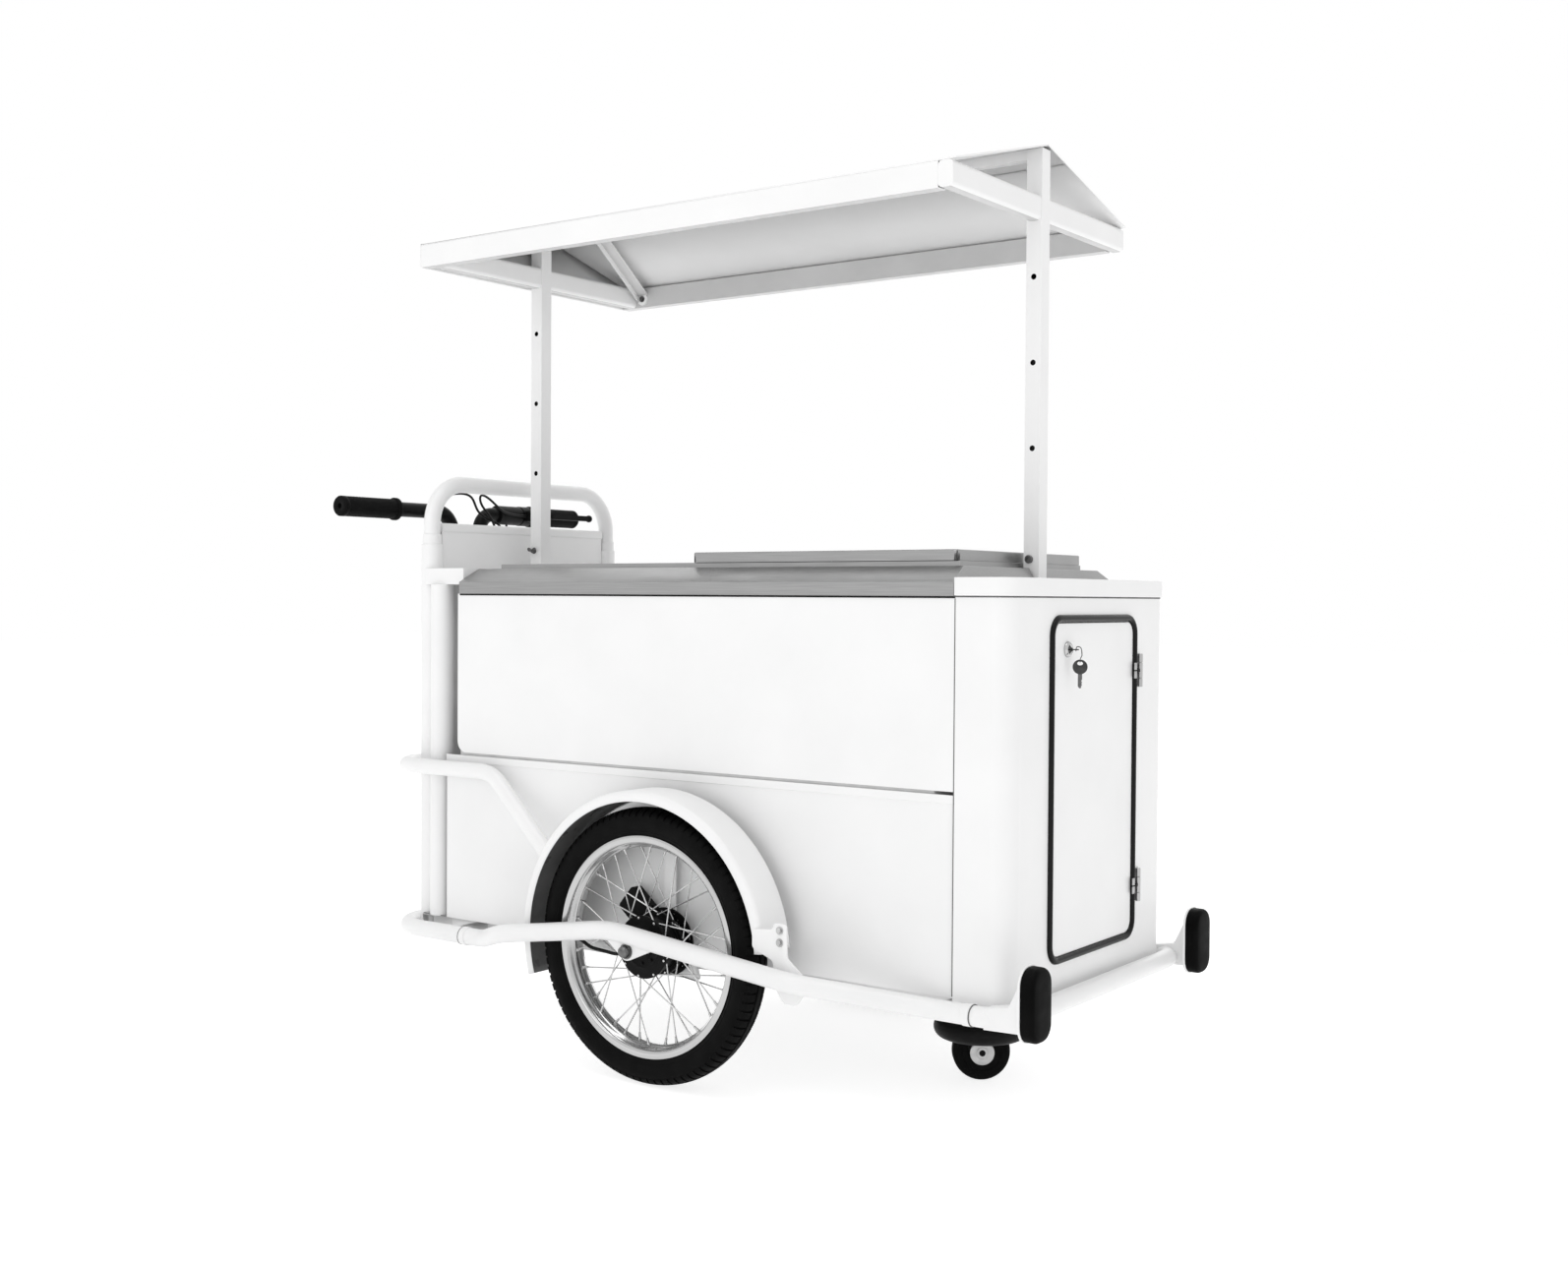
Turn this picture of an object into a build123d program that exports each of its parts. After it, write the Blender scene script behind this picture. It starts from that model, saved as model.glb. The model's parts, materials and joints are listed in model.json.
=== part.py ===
"""Ice pushcart with spoked wheels, insulated tub, sliding lids and a raised canopy.

Millimetres, +Z up, front towards +X, the operator's right hand at -Y. Everything
is drawn with the wheel axle at X = 0 and put() moves each node so that the origin
is the bottom centre of the whole cart. Paired pieces are drawn on the -Y side.
"""
import os
from math import radians, tan

from build123d import *

os.makedirs("parts", exist_ok=True)

# Fits and clearances
RUN = 0.05
SLIDE = 0.3
SEAM = 0.6

# Road wheels
TYRE_R = 265.0
TYRE_W = 64.0
TYRE_BULGE = 0.56
AXLE_Z = TYRE_R
TRACK = 395.0
RIM_R = 212.5
RIM_W = 50.0
RIM_LIP = 2.8
RIM_BED = 204.0
RIM_INNER = 189.0
HUB_R = 60.0
HUB_HALF = 28.0
FLANGE_MID = 22.5
AXLE_R = 8.0
AXLE_END = 485.0
SPOKES = 36
SPOKE_R = 1.5
SPOKE_LEAN = 50.0
DISC_R = 66.0
DISC_FAR = 45.0
DISC_THICK = 3.0
CALIPER = (50.0, 126.0, 28.0)

# Running gear around the wheels
PLATE_IN = 329.0
PLATE_IN_T = 8.0
PLATE_OUT = 461.0
PLATE_OUT_T = 8.0
FENDER_R = 299.0
FENDER_T = 2.5
FENDER_IN = 350.0
FENDER_OUT = 440.0
FENDER_LIP = 21.0
FENDER_FRONT = 5.0
FENDER_REAR = 197.0

# Rails
RAIL_R = 18.0
RAIL_WALL = 2.5
RAIL_Y = 350.0
RAIL_KICK = 465.0
RAIL_REAR_X = -783.0
RAIL_Z = 210.0
SEAM_REAR = -549.0
SEAM_FRONT = 670.0
FRONT_BAR_X = 750.0
FRONT_BAR_Z = 220.0
BAR_R = 16.5
BAR_Y = 345.0
BAR_Z = 562.0
SEAM_PROUD = 1.5

# Chassis and body
FRAME_Z = 200.0
FRAME_TOP = 236.0
LONGERON = 250.0
FLOOR_T = 2.0
PANEL_Y = 325.0
PANEL_T = 2.0
LOWER_Y = 322.0
LOWER_TOP = 590.0
UPPER_BOTTOM = 596.0
PANEL_TOP = 936.0
BODY_REAR = -605.0
BODY_FRONT = 622.0
FAIRING_FRONT = 730.0
FAIRING_T = 2.5
FAIRING_CORNER = 40.0
CAP_Z = PANEL_TOP + 1.0
CAP_H = 32.0
CAP_TOP = CAP_Z + CAP_H
CAP_OVER = 5.0

# Worktop, tub and lids
RIM_H = 25.0
RIM_TOP = PANEL_TOP + RIM_H
HIP_H = 29.0
DECK_Z = RIM_TOP + HIP_H
DECK_HALF = 268.0
DECK_T = 2.0
DECK_X = (-600.0, 620.0)
HIP_FRONT = 14.0
WELL = (-535.0, 515.0, 225.0)
TUB = (-560.0, 540.0, 265.0)
TUB_FLOOR = 290.0
TUB_WALL = 1.2
FOAM = (-600.0, 580.0, PANEL_TOP - 4.0)
GUIDE_IN = 235.0
GUIDE_OUT = 241.0
GUIDE_X = (-560.0, 582.0)
GUIDE_H = 10.0
GUIDE_TOP = DECK_Z + GUIDE_H
REAR_LID = (-545.0, 5.0, 8.0)
FRONT_LID = (-25.0, 580.0, 245.0, 20.0)

# Rear corner, push bar and hoop
POST_X = -678.0
POST_Y = 301.0
POST_R = 25.0
UPRIGHT_X = -727.0
UPRIGHT_Y = 286.0
UPRIGHT_R = 23.0
REAR_CAP = (-752.0, -602.0, 312.0, PANEL_TOP + 20.0, PANEL_TOP + 55.0)
UPRIGHT_TOP = REAR_CAP[4] + 54.0
BUSH_TOP = UPRIGHT_TOP + 22.0
HOOP_R = 18.0
HOOP_TOP = UPRIGHT_TOP + 153.0
HOOP_BEND = 90.0
UPSTAND_TOP = UPRIGHT_TOP + 47.0
UPSTAND_RAIL = 20.0
MOUNT_Z = UPSTAND_TOP - 66.0
BAR_X = -924.0
BAR_TOP = MOUNT_Z + 104.0
ARM_R = 17.0
ARM_Y = 45.0
GRIP_R = 23.0
GRIP_COLLAR = 26.0
GRIP_IN = 215.0
GRIP_OUT = 380.0

# Canopy
FRONT_POST = 606.0
REAR_POST = -674.0
POST_SIZE = 32.0
POST_WALL = 2.5
STUB_SIZE = 26.0
STUB_TOP = 1500.0
PIN_R = 5.5
PIN_Z = (1215.0, 1375.5, 1536.0)
ROOF_X = (-706.0, 626.0)
ROOF_HALF = 343.0
EAVE_Z = 1690.0
ROOF_RISE = 93.0
RIDGE_Z = EAVE_Z + ROOF_RISE
SHEET = 3.0
BEAM_H = 47.0
BEAM_W = 25.0

# Door
DOOR_HALF = 166.0
DOOR_Z = (293.0, PANEL_TOP - 46.0)
DOOR_CORNER = 24.0
BEAD = 14.0
BEAD_PROUD = 7.0
BEAD_ROUND = 4.5
DOOR_DEEP = 18.0
DOOR_FACE = FAIRING_FRONT + 1.0
HINGE_Y = 187.0
HINGE_X = FAIRING_FRONT + 7.0
HINGE_Z = (DOOR_Z[0] + 88.0, DOOR_Z[1] - 94.0)
LOCK_Y = -112.0
LOCK_Z = DOOR_Z[1] - 48.0
KEY_TURN = -60.0

# Caster and bumpers
CASTER_X = 470.0
CASTER_TRAIL = 25.0
CASTER_TURN = 216.0
CASTER_R = 56.0
CASTER_W = 32.0
GUARD_R = 72.0
GUARD_TUBE = 20.0
GUARD_Z = 102.0
PAD_Y = 345.0
PAD_Z = 254.0
PAD_FRONT = 810.0
PAD_T = 26.0
PAD_W = 66.0
PAD_H = 125.0
PAD_CORNER = 23.0
PAD_EDGE = 12.0
PAD_PLATE = 4.0

# The frame: bottom centre of the whole cart
AXLE_X = (GRIP_COLLAR - BAR_X - PAD_FRONT) / 2


def put(name, *shapes):
    """Write one node, shifted from the axle to the cart's bottom centre."""
    solids = [solid for shape in shapes for solid in (Pos(AXLE_X, 0, 0) * shape).solids()]
    export_step(solids[0] if len(solids) == 1 else Compound(solids), f"parts/{name}.step")


def both(*shapes):
    """The shapes with their mirror images across the mid-plane."""
    return [*shapes, *[mirror(shape, about=Plane.XZ) for shape in shapes]]


def block(x0, x1, y0, y1, z0, z1):
    return Pos((x0 + x1) / 2, (y0 + y1) / 2, (z0 + z1) / 2) * Box(x1 - x0, y1 - y0, z1 - z0)


def rod_x(y, z, r, x0, x1):
    return Pos((x0 + x1) / 2, y, z) * Rot(0, 90, 0) * Cylinder(r, x1 - x0)


def rod_y(x, z, r, y0, y1):
    return Pos(x, (y0 + y1) / 2, z) * Rot(90, 0, 0) * Cylinder(r, y1 - y0)


def rod_z(x, y, r, z0, z1):
    return Pos(x, y, (z0 + z1) / 2) * Cylinder(r, z1 - z0)


def prism_x(outline, x0, x1):
    """An outline given as (Y, Z) points or a sketch, run from x0 to x1."""
    face = make_face(Polyline(*outline, close=True)) if isinstance(outline, list) else outline
    return extrude(Plane.YZ.offset(x0) * face, x1 - x0)


def prism_y(outline, y0, y1):
    """An outline given as (X, Z) points or a sketch, run from y0 to y1."""
    face = make_face(Polyline(*outline, close=True)) if isinstance(outline, list) else outline
    return extrude(Plane((0, y1, 0), x_dir=(1, 0, 0), z_dir=(0, -1, 0)) * face, y1 - y0)


def rounded_z(x0, x1, half, corner, z0, z1):
    sketch = Pos((x0 + x1) / 2, 0) * RectangleRounded(x1 - x0, 2 * half, corner)
    return extrude(Pos(0, 0, z0) * sketch, z1 - z0)


def bar(points, bends, r, wall=0.0):
    """Round bar or tube through points, each inner corner turned at its bend radius."""
    path = FilletPolyline(*points, radius=bends) if len(points) > 2 else Line(*points)
    section = Circle(r) - Circle(r - wall) if wall else Circle(r)
    return sweep(Plane(path @ 0, z_dir=path % 0) * section, path=path)


def square_tube(x, y, size, wall, z0, z1):
    outer = block(x - size / 2, x + size / 2, y - size / 2, y + size / 2, z0, z1)
    bore = size / 2 - wall
    return outer - block(x - bore, x + bore, y - bore, y + bore, z0, z1)


def turned(outline):
    """An outline of (offset along the axle, radius) points turned about the Y axis."""
    face = make_face(Polyline(*outline, close=True)) if isinstance(outline, list) else outline
    return revolve(Plane.YZ * face, Axis.Y)


# Road wheels, drawn about the origin with the cart's middle towards +Y
def tyre():
    half = TYRE_W / 2
    seat = RIM_W / 2 - RIM_LIP - 0.2
    shoulder = (0.78 * half, TYRE_R - 8)
    bulge = RIM_R + TYRE_BULGE * (shoulder[1] - RIM_R)
    outline = Curve() + [
        Line((-seat, RIM_BED), (-seat, RIM_R)),
        ThreePointArc((-seat, RIM_R), (-half, bulge), (-shoulder[0], shoulder[1])),
        ThreePointArc((-shoulder[0], shoulder[1]), (0, TYRE_R), shoulder),
        ThreePointArc(shoulder, (half, bulge), (seat, RIM_R)),
        Line((seat, RIM_R), (seat, RIM_BED)),
        Line((seat, RIM_BED), (-seat, RIM_BED)),
    ]
    return turned(make_face(outline))


def rim():
    edge = RIM_W / 2
    lip = edge - RIM_LIP
    right = [(12, RIM_BED), (lip, RIM_BED), (lip, RIM_R), (edge, RIM_R), (edge, RIM_BED - 4), (9, RIM_INNER)]
    left = [(-y, r) for y, r in reversed(right)]
    return turned(left + [(-9, RIM_BED - 8), (9, RIM_BED - 8)] + right)


def hub():
    bore = AXLE_R + RUN
    half = [(FLANGE_MID - 4, 52), (FLANGE_MID - 4, HUB_R), (FLANGE_MID + 4, HUB_R),
            (FLANGE_MID + 4, 46), (HUB_HALF, 40), (HUB_HALF, bore)]
    shell = turned([(-y, r) for y, r in reversed(half)] + half)
    near = DISC_FAR - DISC_THICK
    disc = turned([(HUB_HALF, bore), (HUB_HALF, 30), (near, 30), (near, DISC_R),
                   (DISC_FAR, DISC_R), (DISC_FAR, bore)])
    return [shell, disc]


def spoke(number):
    """One spoke from a hub flange to the rim; neighbours lean opposite ways and pass clear."""
    side = 1 if number % 2 else -1
    lean = 1 if number // 2 % 2 else -1
    angle = 360 * number / SPOKES
    at_hub = Rot(0, angle + lean * SPOKE_LEAN, 0) * Pos(0, side * (FLANGE_MID + lean * 2.6), HUB_R - 4)
    at_rim = Rot(0, angle, 0) * Pos(0, side * (4 + lean * 1.6), RIM_INNER + 2.5)
    start = at_hub.position
    run = at_rim.position - start
    return extrude(Plane(start, z_dir=run) * RegularPolygon(SPOKE_R, 6), run.length)


at_wheel = Pos(0, -TRACK, AXLE_Z)
wheel = {
    "tyre": [tyre()],
    "rim": [rim()],
    "hub": hub(),
    "spokes": [spoke(number) for number in range(SPOKES)],
}
for piece, shapes in wheel.items():
    placed = [at_wheel * shape for shape in shapes]
    put(f"{piece}_right", *placed)
    put(f"{piece}_left", *[mirror(shape, about=Plane.XZ) for shape in placed])

# Fixed axles with their spacers and nuts
spacer_in = rod_y(0, AXLE_Z, 11, -(TRACK - DISC_FAR) + 0.5, -(PLATE_IN + PLATE_IN_T))
spacer_out = rod_y(0, AXLE_Z, 11, -PLATE_OUT, -(TRACK + HUB_HALF) - 0.5)
nut_face = PLATE_OUT + PLATE_OUT_T
nut = prism_y(Pos(0, AXLE_Z) * RegularPolygon(11, 6), -(nut_face + 12), -nut_face)
axle = rod_y(0, AXLE_Z, AXLE_R, -AXLE_END, -PLATE_IN) + spacer_in + spacer_out + nut
put("axles", *both(axle))

# Lower rails: kicked out round each wheel, wrapped behind and across the front
side_path = [
    (SEAM_REAR, -RAIL_Y, RAIL_Z), (-500, -RAIL_Y, RAIL_Z), (-335, -RAIL_KICK, 258),
    (-45, -RAIL_KICK, 300), (374, -RAIL_KICK, 254), (590, -RAIL_Y, FRONT_BAR_Z),
    (SEAM_FRONT, -RAIL_Y, FRONT_BAR_Z),
]
side_bends = [80, 150, 300, 150, 150]
rear_path = [(SEAM_REAR, -RAIL_Y, RAIL_Z), (RAIL_REAR_X, -RAIL_Y, RAIL_Z),
             (RAIL_REAR_X, RAIL_Y, RAIL_Z), (SEAM_REAR, RAIL_Y, RAIL_Z)]
front_path = [(SEAM_FRONT, -RAIL_Y, FRONT_BAR_Z), (FRONT_BAR_X, -RAIL_Y, FRONT_BAR_Z),
              (FRONT_BAR_X, RAIL_Y, FRONT_BAR_Z), (SEAM_FRONT, RAIL_Y, FRONT_BAR_Z)]
upper_path = [(-240, -388, 376), (-481, -BAR_Y, BAR_Z), (RAIL_REAR_X, -BAR_Y, BAR_Z),
              (RAIL_REAR_X, BAR_Y, BAR_Z), (-481, BAR_Y, BAR_Z), (-240, 388, 376)]
side_core = bar(side_path, side_bends, RAIL_R)
front_core = bar(front_path, 60, RAIL_R)
upright_cores = both(rod_z(UPRIGHT_X, -UPRIGHT_Y, UPRIGHT_R, FRAME_Z - 10, UPRIGHT_TOP))


def collar(x, z):
    return rod_x(-RAIL_Y, z, RAIL_R + SEAM_PROUD, x - 8, x + 8) - rod_x(-RAIL_Y, z, RAIL_R, x - 8, x + 8)


def stand_off(z, r):
    """Short stub from a wrapped rear bar to the handle upright."""
    stub = rod_x(-UPRIGHT_Y + 6, z, 9, RAIL_REAR_X + r - 3, UPRIGHT_X)
    return stub - upright_cores[0]


side_rail = bar(side_path, side_bends, RAIL_R, RAIL_WALL)
put("side_rails", *both(side_rail + collar(SEAM_REAR, RAIL_Z) + collar(SEAM_FRONT, FRONT_BAR_Z)))
rear_rail = bar(rear_path, 90, RAIL_R, RAIL_WALL)
rear_core = bar(rear_path, 90, RAIL_R)
for stub in both(stand_off(RAIL_Z, RAIL_R)):
    rear_rail += stub - rear_core
put("rear_lower_rail", rear_rail)
wrap_bends = [100, 70, 70, 100]
fender_core = rod_y(0, AXLE_Z, FENDER_R, -FENDER_OUT, FENDER_OUT)
upper_bar = bar(upper_path, wrap_bends, BAR_R, 2) - fender_core
for stub in both(stand_off(BAR_Z, BAR_R)):
    upper_bar += stub - bar(upper_path, wrap_bends, BAR_R)
put("upper_rear_bar", upper_bar)

# Wheel brackets: inner and outer axle plates, fender stay and front fender gusset
axle_hole = rod_y(0, AXLE_Z, AXLE_R + RUN, -AXLE_END, 0)
inner_plate = prism_y([(-70, 196), (70, 196), (38, 296), (-20, 306), (-92, 368), (-132, 332), (-62, 258)],
                      -(PLATE_IN + PLATE_IN_T), -PLATE_IN) - axle_hole
stay_face = PLATE_IN + PLATE_IN_T
stay = block(-14, 14, -stay_face - 4, -stay_face, 284, 556)
stay += block(-14, 14, -FENDER_IN, -stay_face, 550, 556)
stay = stay - rod_y(0, AXLE_Z, 12, -FENDER_IN, -stay_face)
outer_plate = prism_y([(-95, 300), (95, 290), (34, 238), (-34, 238)],
                      -nut_face, -PLATE_OUT) - side_core - axle_hole
gusset_outline = make_face(Polyline((286, 294), (286, 352), (316, 352), (318, 290), (358, 262), (358, 232),
                                    (338, 210), (312, 210), (294, 236), (294, 270), close=True))
gusset = prism_y(fillet(gusset_outline.vertices(), 9), -FENDER_OUT - 4, -FENDER_OUT)
gusset += block(310, 352, -RAIL_KICK, -FENDER_OUT, 248, 266)
gusset = gusset - side_core
put("wheel_brackets", *both(inner_plate, stay, outer_plate, gusset))

# Fenders: a rolled channel turned about the axle
mid = (FENDER_IN + FENDER_OUT) / 2
wide = FENDER_OUT - FENDER_IN
skin = Pos(0, FENDER_R - FENDER_LIP / 2) * Rectangle(wide, FENDER_LIP)
skin = fillet(skin.vertices().group_by(Axis.Y)[-1], 10)
core = Pos(0, FENDER_R - FENDER_T - FENDER_LIP / 2) * Rectangle(wide - 2 * FENDER_T, FENDER_LIP)
core = fillet(core.vertices().group_by(Axis.Y)[-1], 10 - FENDER_T)
channel = Rot(0, 90 - FENDER_REAR, 0) * (Plane.YZ * (skin - core))
fender = Pos(0, -mid, AXLE_Z) * revolve(channel, Axis.Y, FENDER_REAR - FENDER_FRONT)
put("fenders", *both(fender))

# Brake calipers on the inner plates, slotted over the discs
near, far, half = CALIPER
caliper = block(near, far, -(PLATE_IN + PLATE_IN_T + 25), -(PLATE_IN + PLATE_IN_T), -half, half)
caliper = fillet(caliper.edges().filter_by(Axis.Y), 8)
caliper = caliper - block(near, DISC_R + 3, -(TRACK - DISC_FAR) - 4, -(TRACK - DISC_FAR) + 1, -half, half)
put("brake_calipers", *both(Pos(0, 0, AXLE_Z) * Rot(0, -140, 0) * caliper))

# Chassis: longerons, cross members and outriggers as separate tubes
half_tube = (FRAME_TOP - FRAME_Z) / 2
inner_edge = LONGERON - half_tube
outer_edge = LONGERON + half_tube
frame = both(block(-682, 700, -outer_edge, -inner_edge, FRAME_Z, FRAME_TOP)
             - block(-682, 700, -outer_edge + 3, -inner_edge - 3, FRAME_Z + 3, FRAME_TOP - 3))
for x in (0, CASTER_X, 640):
    cross = block(x - half_tube, x + half_tube, -inner_edge, inner_edge, FRAME_Z, FRAME_TOP)
    frame.append(cross - block(x - half_tube + 3, x + half_tube - 3, -inner_edge, inner_edge,
                               FRAME_Z + 3, FRAME_TOP - 3))
rear_cross = block(-718, -682, -320, 320, FRAME_Z, FRAME_TOP)
rear_cross = rear_cross - block(-715, -685, -320, 320, FRAME_Z + 3, FRAME_TOP - 3)
frame.append(rear_cross - upright_cores[0] - upright_cores[1])
frame += both(block(-half_tube, half_tube, -PLATE_IN, -outer_edge, FRAME_Z, FRAME_TOP))
frame += both(block(-600, -570, -RAIL_Y, -outer_edge, FRAME_Z, RAIL_Z + 12) - rear_core)
frame += both(block(610, 640, -RAIL_Y, -outer_edge, FRAME_Z + 4, FRAME_Z + 32) - side_core)
put("chassis_frame", *frame)

# Front bumpers
def pad_shape(grow):
    return Pos(-PAD_Y, PAD_Z) * RectangleRounded(PAD_W + 2 * grow, PAD_H + 2 * grow, PAD_CORNER + grow)


pad_back = PAD_FRONT - PAD_T
pad = prism_x(pad_shape(0), pad_back, PAD_FRONT)
pad = fillet(pad.faces().sort_by(Axis.X)[-1].edges(), PAD_EDGE)
plate_back = pad_back - PAD_PLATE
bracket = prism_y([(plate_back, PAD_Z - 50), (plate_back, PAD_Z + 52), (FRONT_BAR_X + 2, FRONT_BAR_Z + 26),
                   (FRONT_BAR_X - 45, FRONT_BAR_Z + 18), (FRONT_BAR_X - 45, FRONT_BAR_Z - 18)],
                  -PAD_Y - 18, -PAD_Y + 18) - front_core
bracket += prism_x(pad_shape(2), plate_back, pad_back)
put("bumper_pads", *both(pad))
put("front_bar", bar(front_path, 60, RAIL_R, RAIL_WALL), *both(bracket.solids().sort_by(Axis.X)[-1]))

# Rear corner: posts, handle uprights, cap, panel
put("corner_posts", *both(rod_z(POST_X, -POST_Y, POST_R, FRAME_TOP, REAR_CAP[3])
                          - rod_z(POST_X, -POST_Y, POST_R - 2.5, FRAME_TOP, REAR_CAP[3])))
upright_bore = UPRIGHT_R - 2.5
upright = (rod_z(UPRIGHT_X, -UPRIGHT_Y, UPRIGHT_R, FRAME_Z, UPRIGHT_TOP)
           - rod_z(UPRIGHT_X, -UPRIGHT_Y, upright_bore, FRAME_Z, UPRIGHT_TOP))
bush = (rod_z(UPRIGHT_X, -UPRIGHT_Y, upright_bore - RUN, UPRIGHT_TOP - 40, BUSH_TOP)
        - rod_z(UPRIGHT_X, -UPRIGHT_Y, HOOP_R + RUN, UPRIGHT_TOP - 40, BUSH_TOP))
put("handle_uprights", *both(upright, bush))


def cap_shell(x0, x1, half, corner, z0, z1, wall, square_end):
    """A folded cap with two rounded corners; the other end is left square at square_end."""
    outer = rounded_z(x0, x1, half, corner, z0, z1)
    inner = rounded_z(x0 + wall, x1 - wall, half - wall, corner - wall, z0, z1 - wall)
    reach = block(min(x0, x1) - 1, max(x0, x1) + 1, -half - 1, half + 1, z0 - 1, z1 + 1)
    keep = block(square_end[0], square_end[1], -half - 1, half + 1, z0 - 1, z1 + 1)
    return (outer - inner) - (reach - keep)


cap_x0, cap_x1, cap_half, cap_z0, cap_z1 = REAR_CAP
rear_cap = cap_shell(cap_x0, cap_x1 + 60, cap_half, 45, cap_z0, cap_z1, 3, (cap_x0 - 1, cap_x1))
rear_cap += block(cap_x1 - 3, cap_x1, -cap_half, cap_half, cap_z0, cap_z1)
stub_gap = STUB_SIZE / 2 + SLIDE
for y in (-UPRIGHT_Y, UPRIGHT_Y):
    rear_cap -= rod_z(UPRIGHT_X, y, UPRIGHT_R + RUN, cap_z0, cap_z1)
rear_cap -= block(REAR_POST - stub_gap, REAR_POST + stub_gap, -stub_gap, stub_gap, cap_z0, cap_z1)
put("rear_cap", rear_cap)
put("rear_panel", block(-701.5, -700, -270, 270, FRAME_TOP + FLOOR_T, cap_z0))

# Guard hoop, upstand and push bar
hoop_leg = HOOP_TOP - HOOP_R
hoop_path = [(UPRIGHT_X, -UPRIGHT_Y, UPRIGHT_TOP - 40), (UPRIGHT_X, -UPRIGHT_Y, hoop_leg),
             (UPRIGHT_X, UPRIGHT_Y, hoop_leg), (UPRIGHT_X, UPRIGHT_Y, UPRIGHT_TOP - 40)]
put("guard_hoop", bar(hoop_path, HOOP_BEND, HOOP_R, 2.5))
upstand_half = UPRIGHT_Y - UPRIGHT_R - SEAM
upstand = block(UPRIGHT_X - 6, UPRIGHT_X + 6, -upstand_half, upstand_half, cap_z1, UPSTAND_TOP)
upstand -= block(UPRIGHT_X - 4, UPRIGHT_X + 4, -upstand_half, upstand_half, cap_z1, UPSTAND_TOP - UPSTAND_RAIL)
rail_top = block(UPRIGHT_X - 9, UPRIGHT_X + 9, -upstand_half, upstand_half, UPSTAND_TOP - UPSTAND_RAIL, UPSTAND_TOP)
put("upstand_panel", upstand + fillet(rail_top.edges().filter_by(Axis.Y), 5))
mount_face = UPRIGHT_X - 6 - 12
put("handlebar_mount", prism_x(Pos(0, MOUNT_Z) * RectangleRounded(150, 58, 12), mount_face, mount_face + 12))
arm_path = [(BAR_X, -GRIP_OUT + 8, BAR_TOP), (BAR_X, -ARM_Y, BAR_TOP),
            (BAR_X + 9, -ARM_Y, MOUNT_Z), (mount_face, -ARM_Y, MOUNT_Z)]
put("handlebar", *both(bar(arm_path, [45, 40], ARM_R, 3)))


def grip():
    body = rod_y(BAR_X, BAR_TOP, GRIP_R, -GRIP_OUT, -GRIP_IN)
    body += rod_y(BAR_X, BAR_TOP, GRIP_COLLAR, -GRIP_IN - 8, -GRIP_IN)
    body = body - rod_y(BAR_X, BAR_TOP, ARM_R + RUN, -GRIP_OUT + 5, -GRIP_IN)
    return body - rod_y(BAR_X, BAR_TOP, 6, -GRIP_OUT, -GRIP_OUT + 5)


put("throttle_grip", grip())
put("left_grip", mirror(grip(), about=Plane.XZ))

# Left-hand controls: brake clamp with its lever, switch box
PIVOT = (BAR_X + 52, 196.0)
clamp = rod_y(BAR_X, BAR_TOP, ARM_R + 7, 180, 210)
lug = block(BAR_X + 10, PIVOT[0] + 9, 184, 207, BAR_TOP - 13, BAR_TOP + 13)
lug = lug - block(PIVOT[0] - 16, PIVOT[0] + 20, 180, 211, BAR_TOP - 8, BAR_TOP + 8)
clamp += lug + rod_z(*PIVOT, 3, BAR_TOP - 13, BAR_TOP + 13)
SWITCH_R = ARM_R + 6
switch = rod_y(BAR_X, BAR_TOP, SWITCH_R, 104, 178)
bar_bore = rod_y(BAR_X, BAR_TOP, ARM_R, 90, GRIP_OUT)
put("left_controls", clamp - bar_bore, switch - bar_bore)
lever_path = [(PIVOT[0], PIVOT[1]), (PIVOT[0] + 6, 240), (PIVOT[0] + 8, 320), (PIVOT[0] + 10, 372)]
lever = extrude(Pos(0, 0, BAR_TOP - 6.5) * Pos(*PIVOT) * Circle(9), 13)
for start, end in zip(lever_path, lever_path[1:]):
    lever += extrude(Pos(0, 0, BAR_TOP - 6.5) * SlotCenterToCenter(
        (Vector(*end) - Vector(*start)).length, 13, 0).moved(
        Pos((start[0] + end[0]) / 2, (start[1] + end[1]) / 2)
        * Rot(0, 0, Vector(1, 0).get_signed_angle(Vector(*end) - Vector(*start), Vector(0, 0, 1)))), 13)
lever += Pos(*lever_path[-1], BAR_TOP) * Sphere(9)
put("brake_lever", lever - rod_z(*PIVOT, 3 + RUN, BAR_TOP - 10, BAR_TOP + 10))

# Control cables from the hand controls, looped over into the handlebar mount
CABLE_R = 2.5
cable_z = MOUNT_Z + 10.0


def cord(points):
    """A round cord whose bends are as wide as the runs beside them allow."""
    runs = [Vector(*end) - Vector(*start) for start, end in zip(points, points[1:])]
    bends = [0.45 * min(first.length, after.length) / tan(radians(first.get_angle(after) / 2))
             for first, after in zip(runs, runs[1:])]
    return bar(points, bends, CABLE_R)


cables = [
    [(BAR_X + 28, 184, BAR_TOP), (BAR_X + 28, 90, BAR_TOP), (BAR_X + 64, 34, BAR_TOP + 40),
     (BAR_X + 110, -4, BAR_TOP + 24), (mount_face - 50, -16, cable_z), (mount_face, -16, cable_z)],
    [(BAR_X, 140, BAR_TOP - SWITCH_R), (BAR_X, 140, BAR_TOP - 50), (BAR_X + 70, 60, BAR_TOP - 62),
     (mount_face - 50, 4, cable_z), (mount_face, 4, cable_z)],
    [(BAR_X, -74, BAR_TOP + ARM_R - 0.5), (BAR_X, -74, BAR_TOP + 34), (BAR_X + 50, -20, BAR_TOP + 44),
     (BAR_X + 96, 40, BAR_TOP + 20), (mount_face - 46, 22, cable_z), (mount_face, 22, cable_z)],
]
put("control_cables", *[cord(points) for points in cables])

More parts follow.
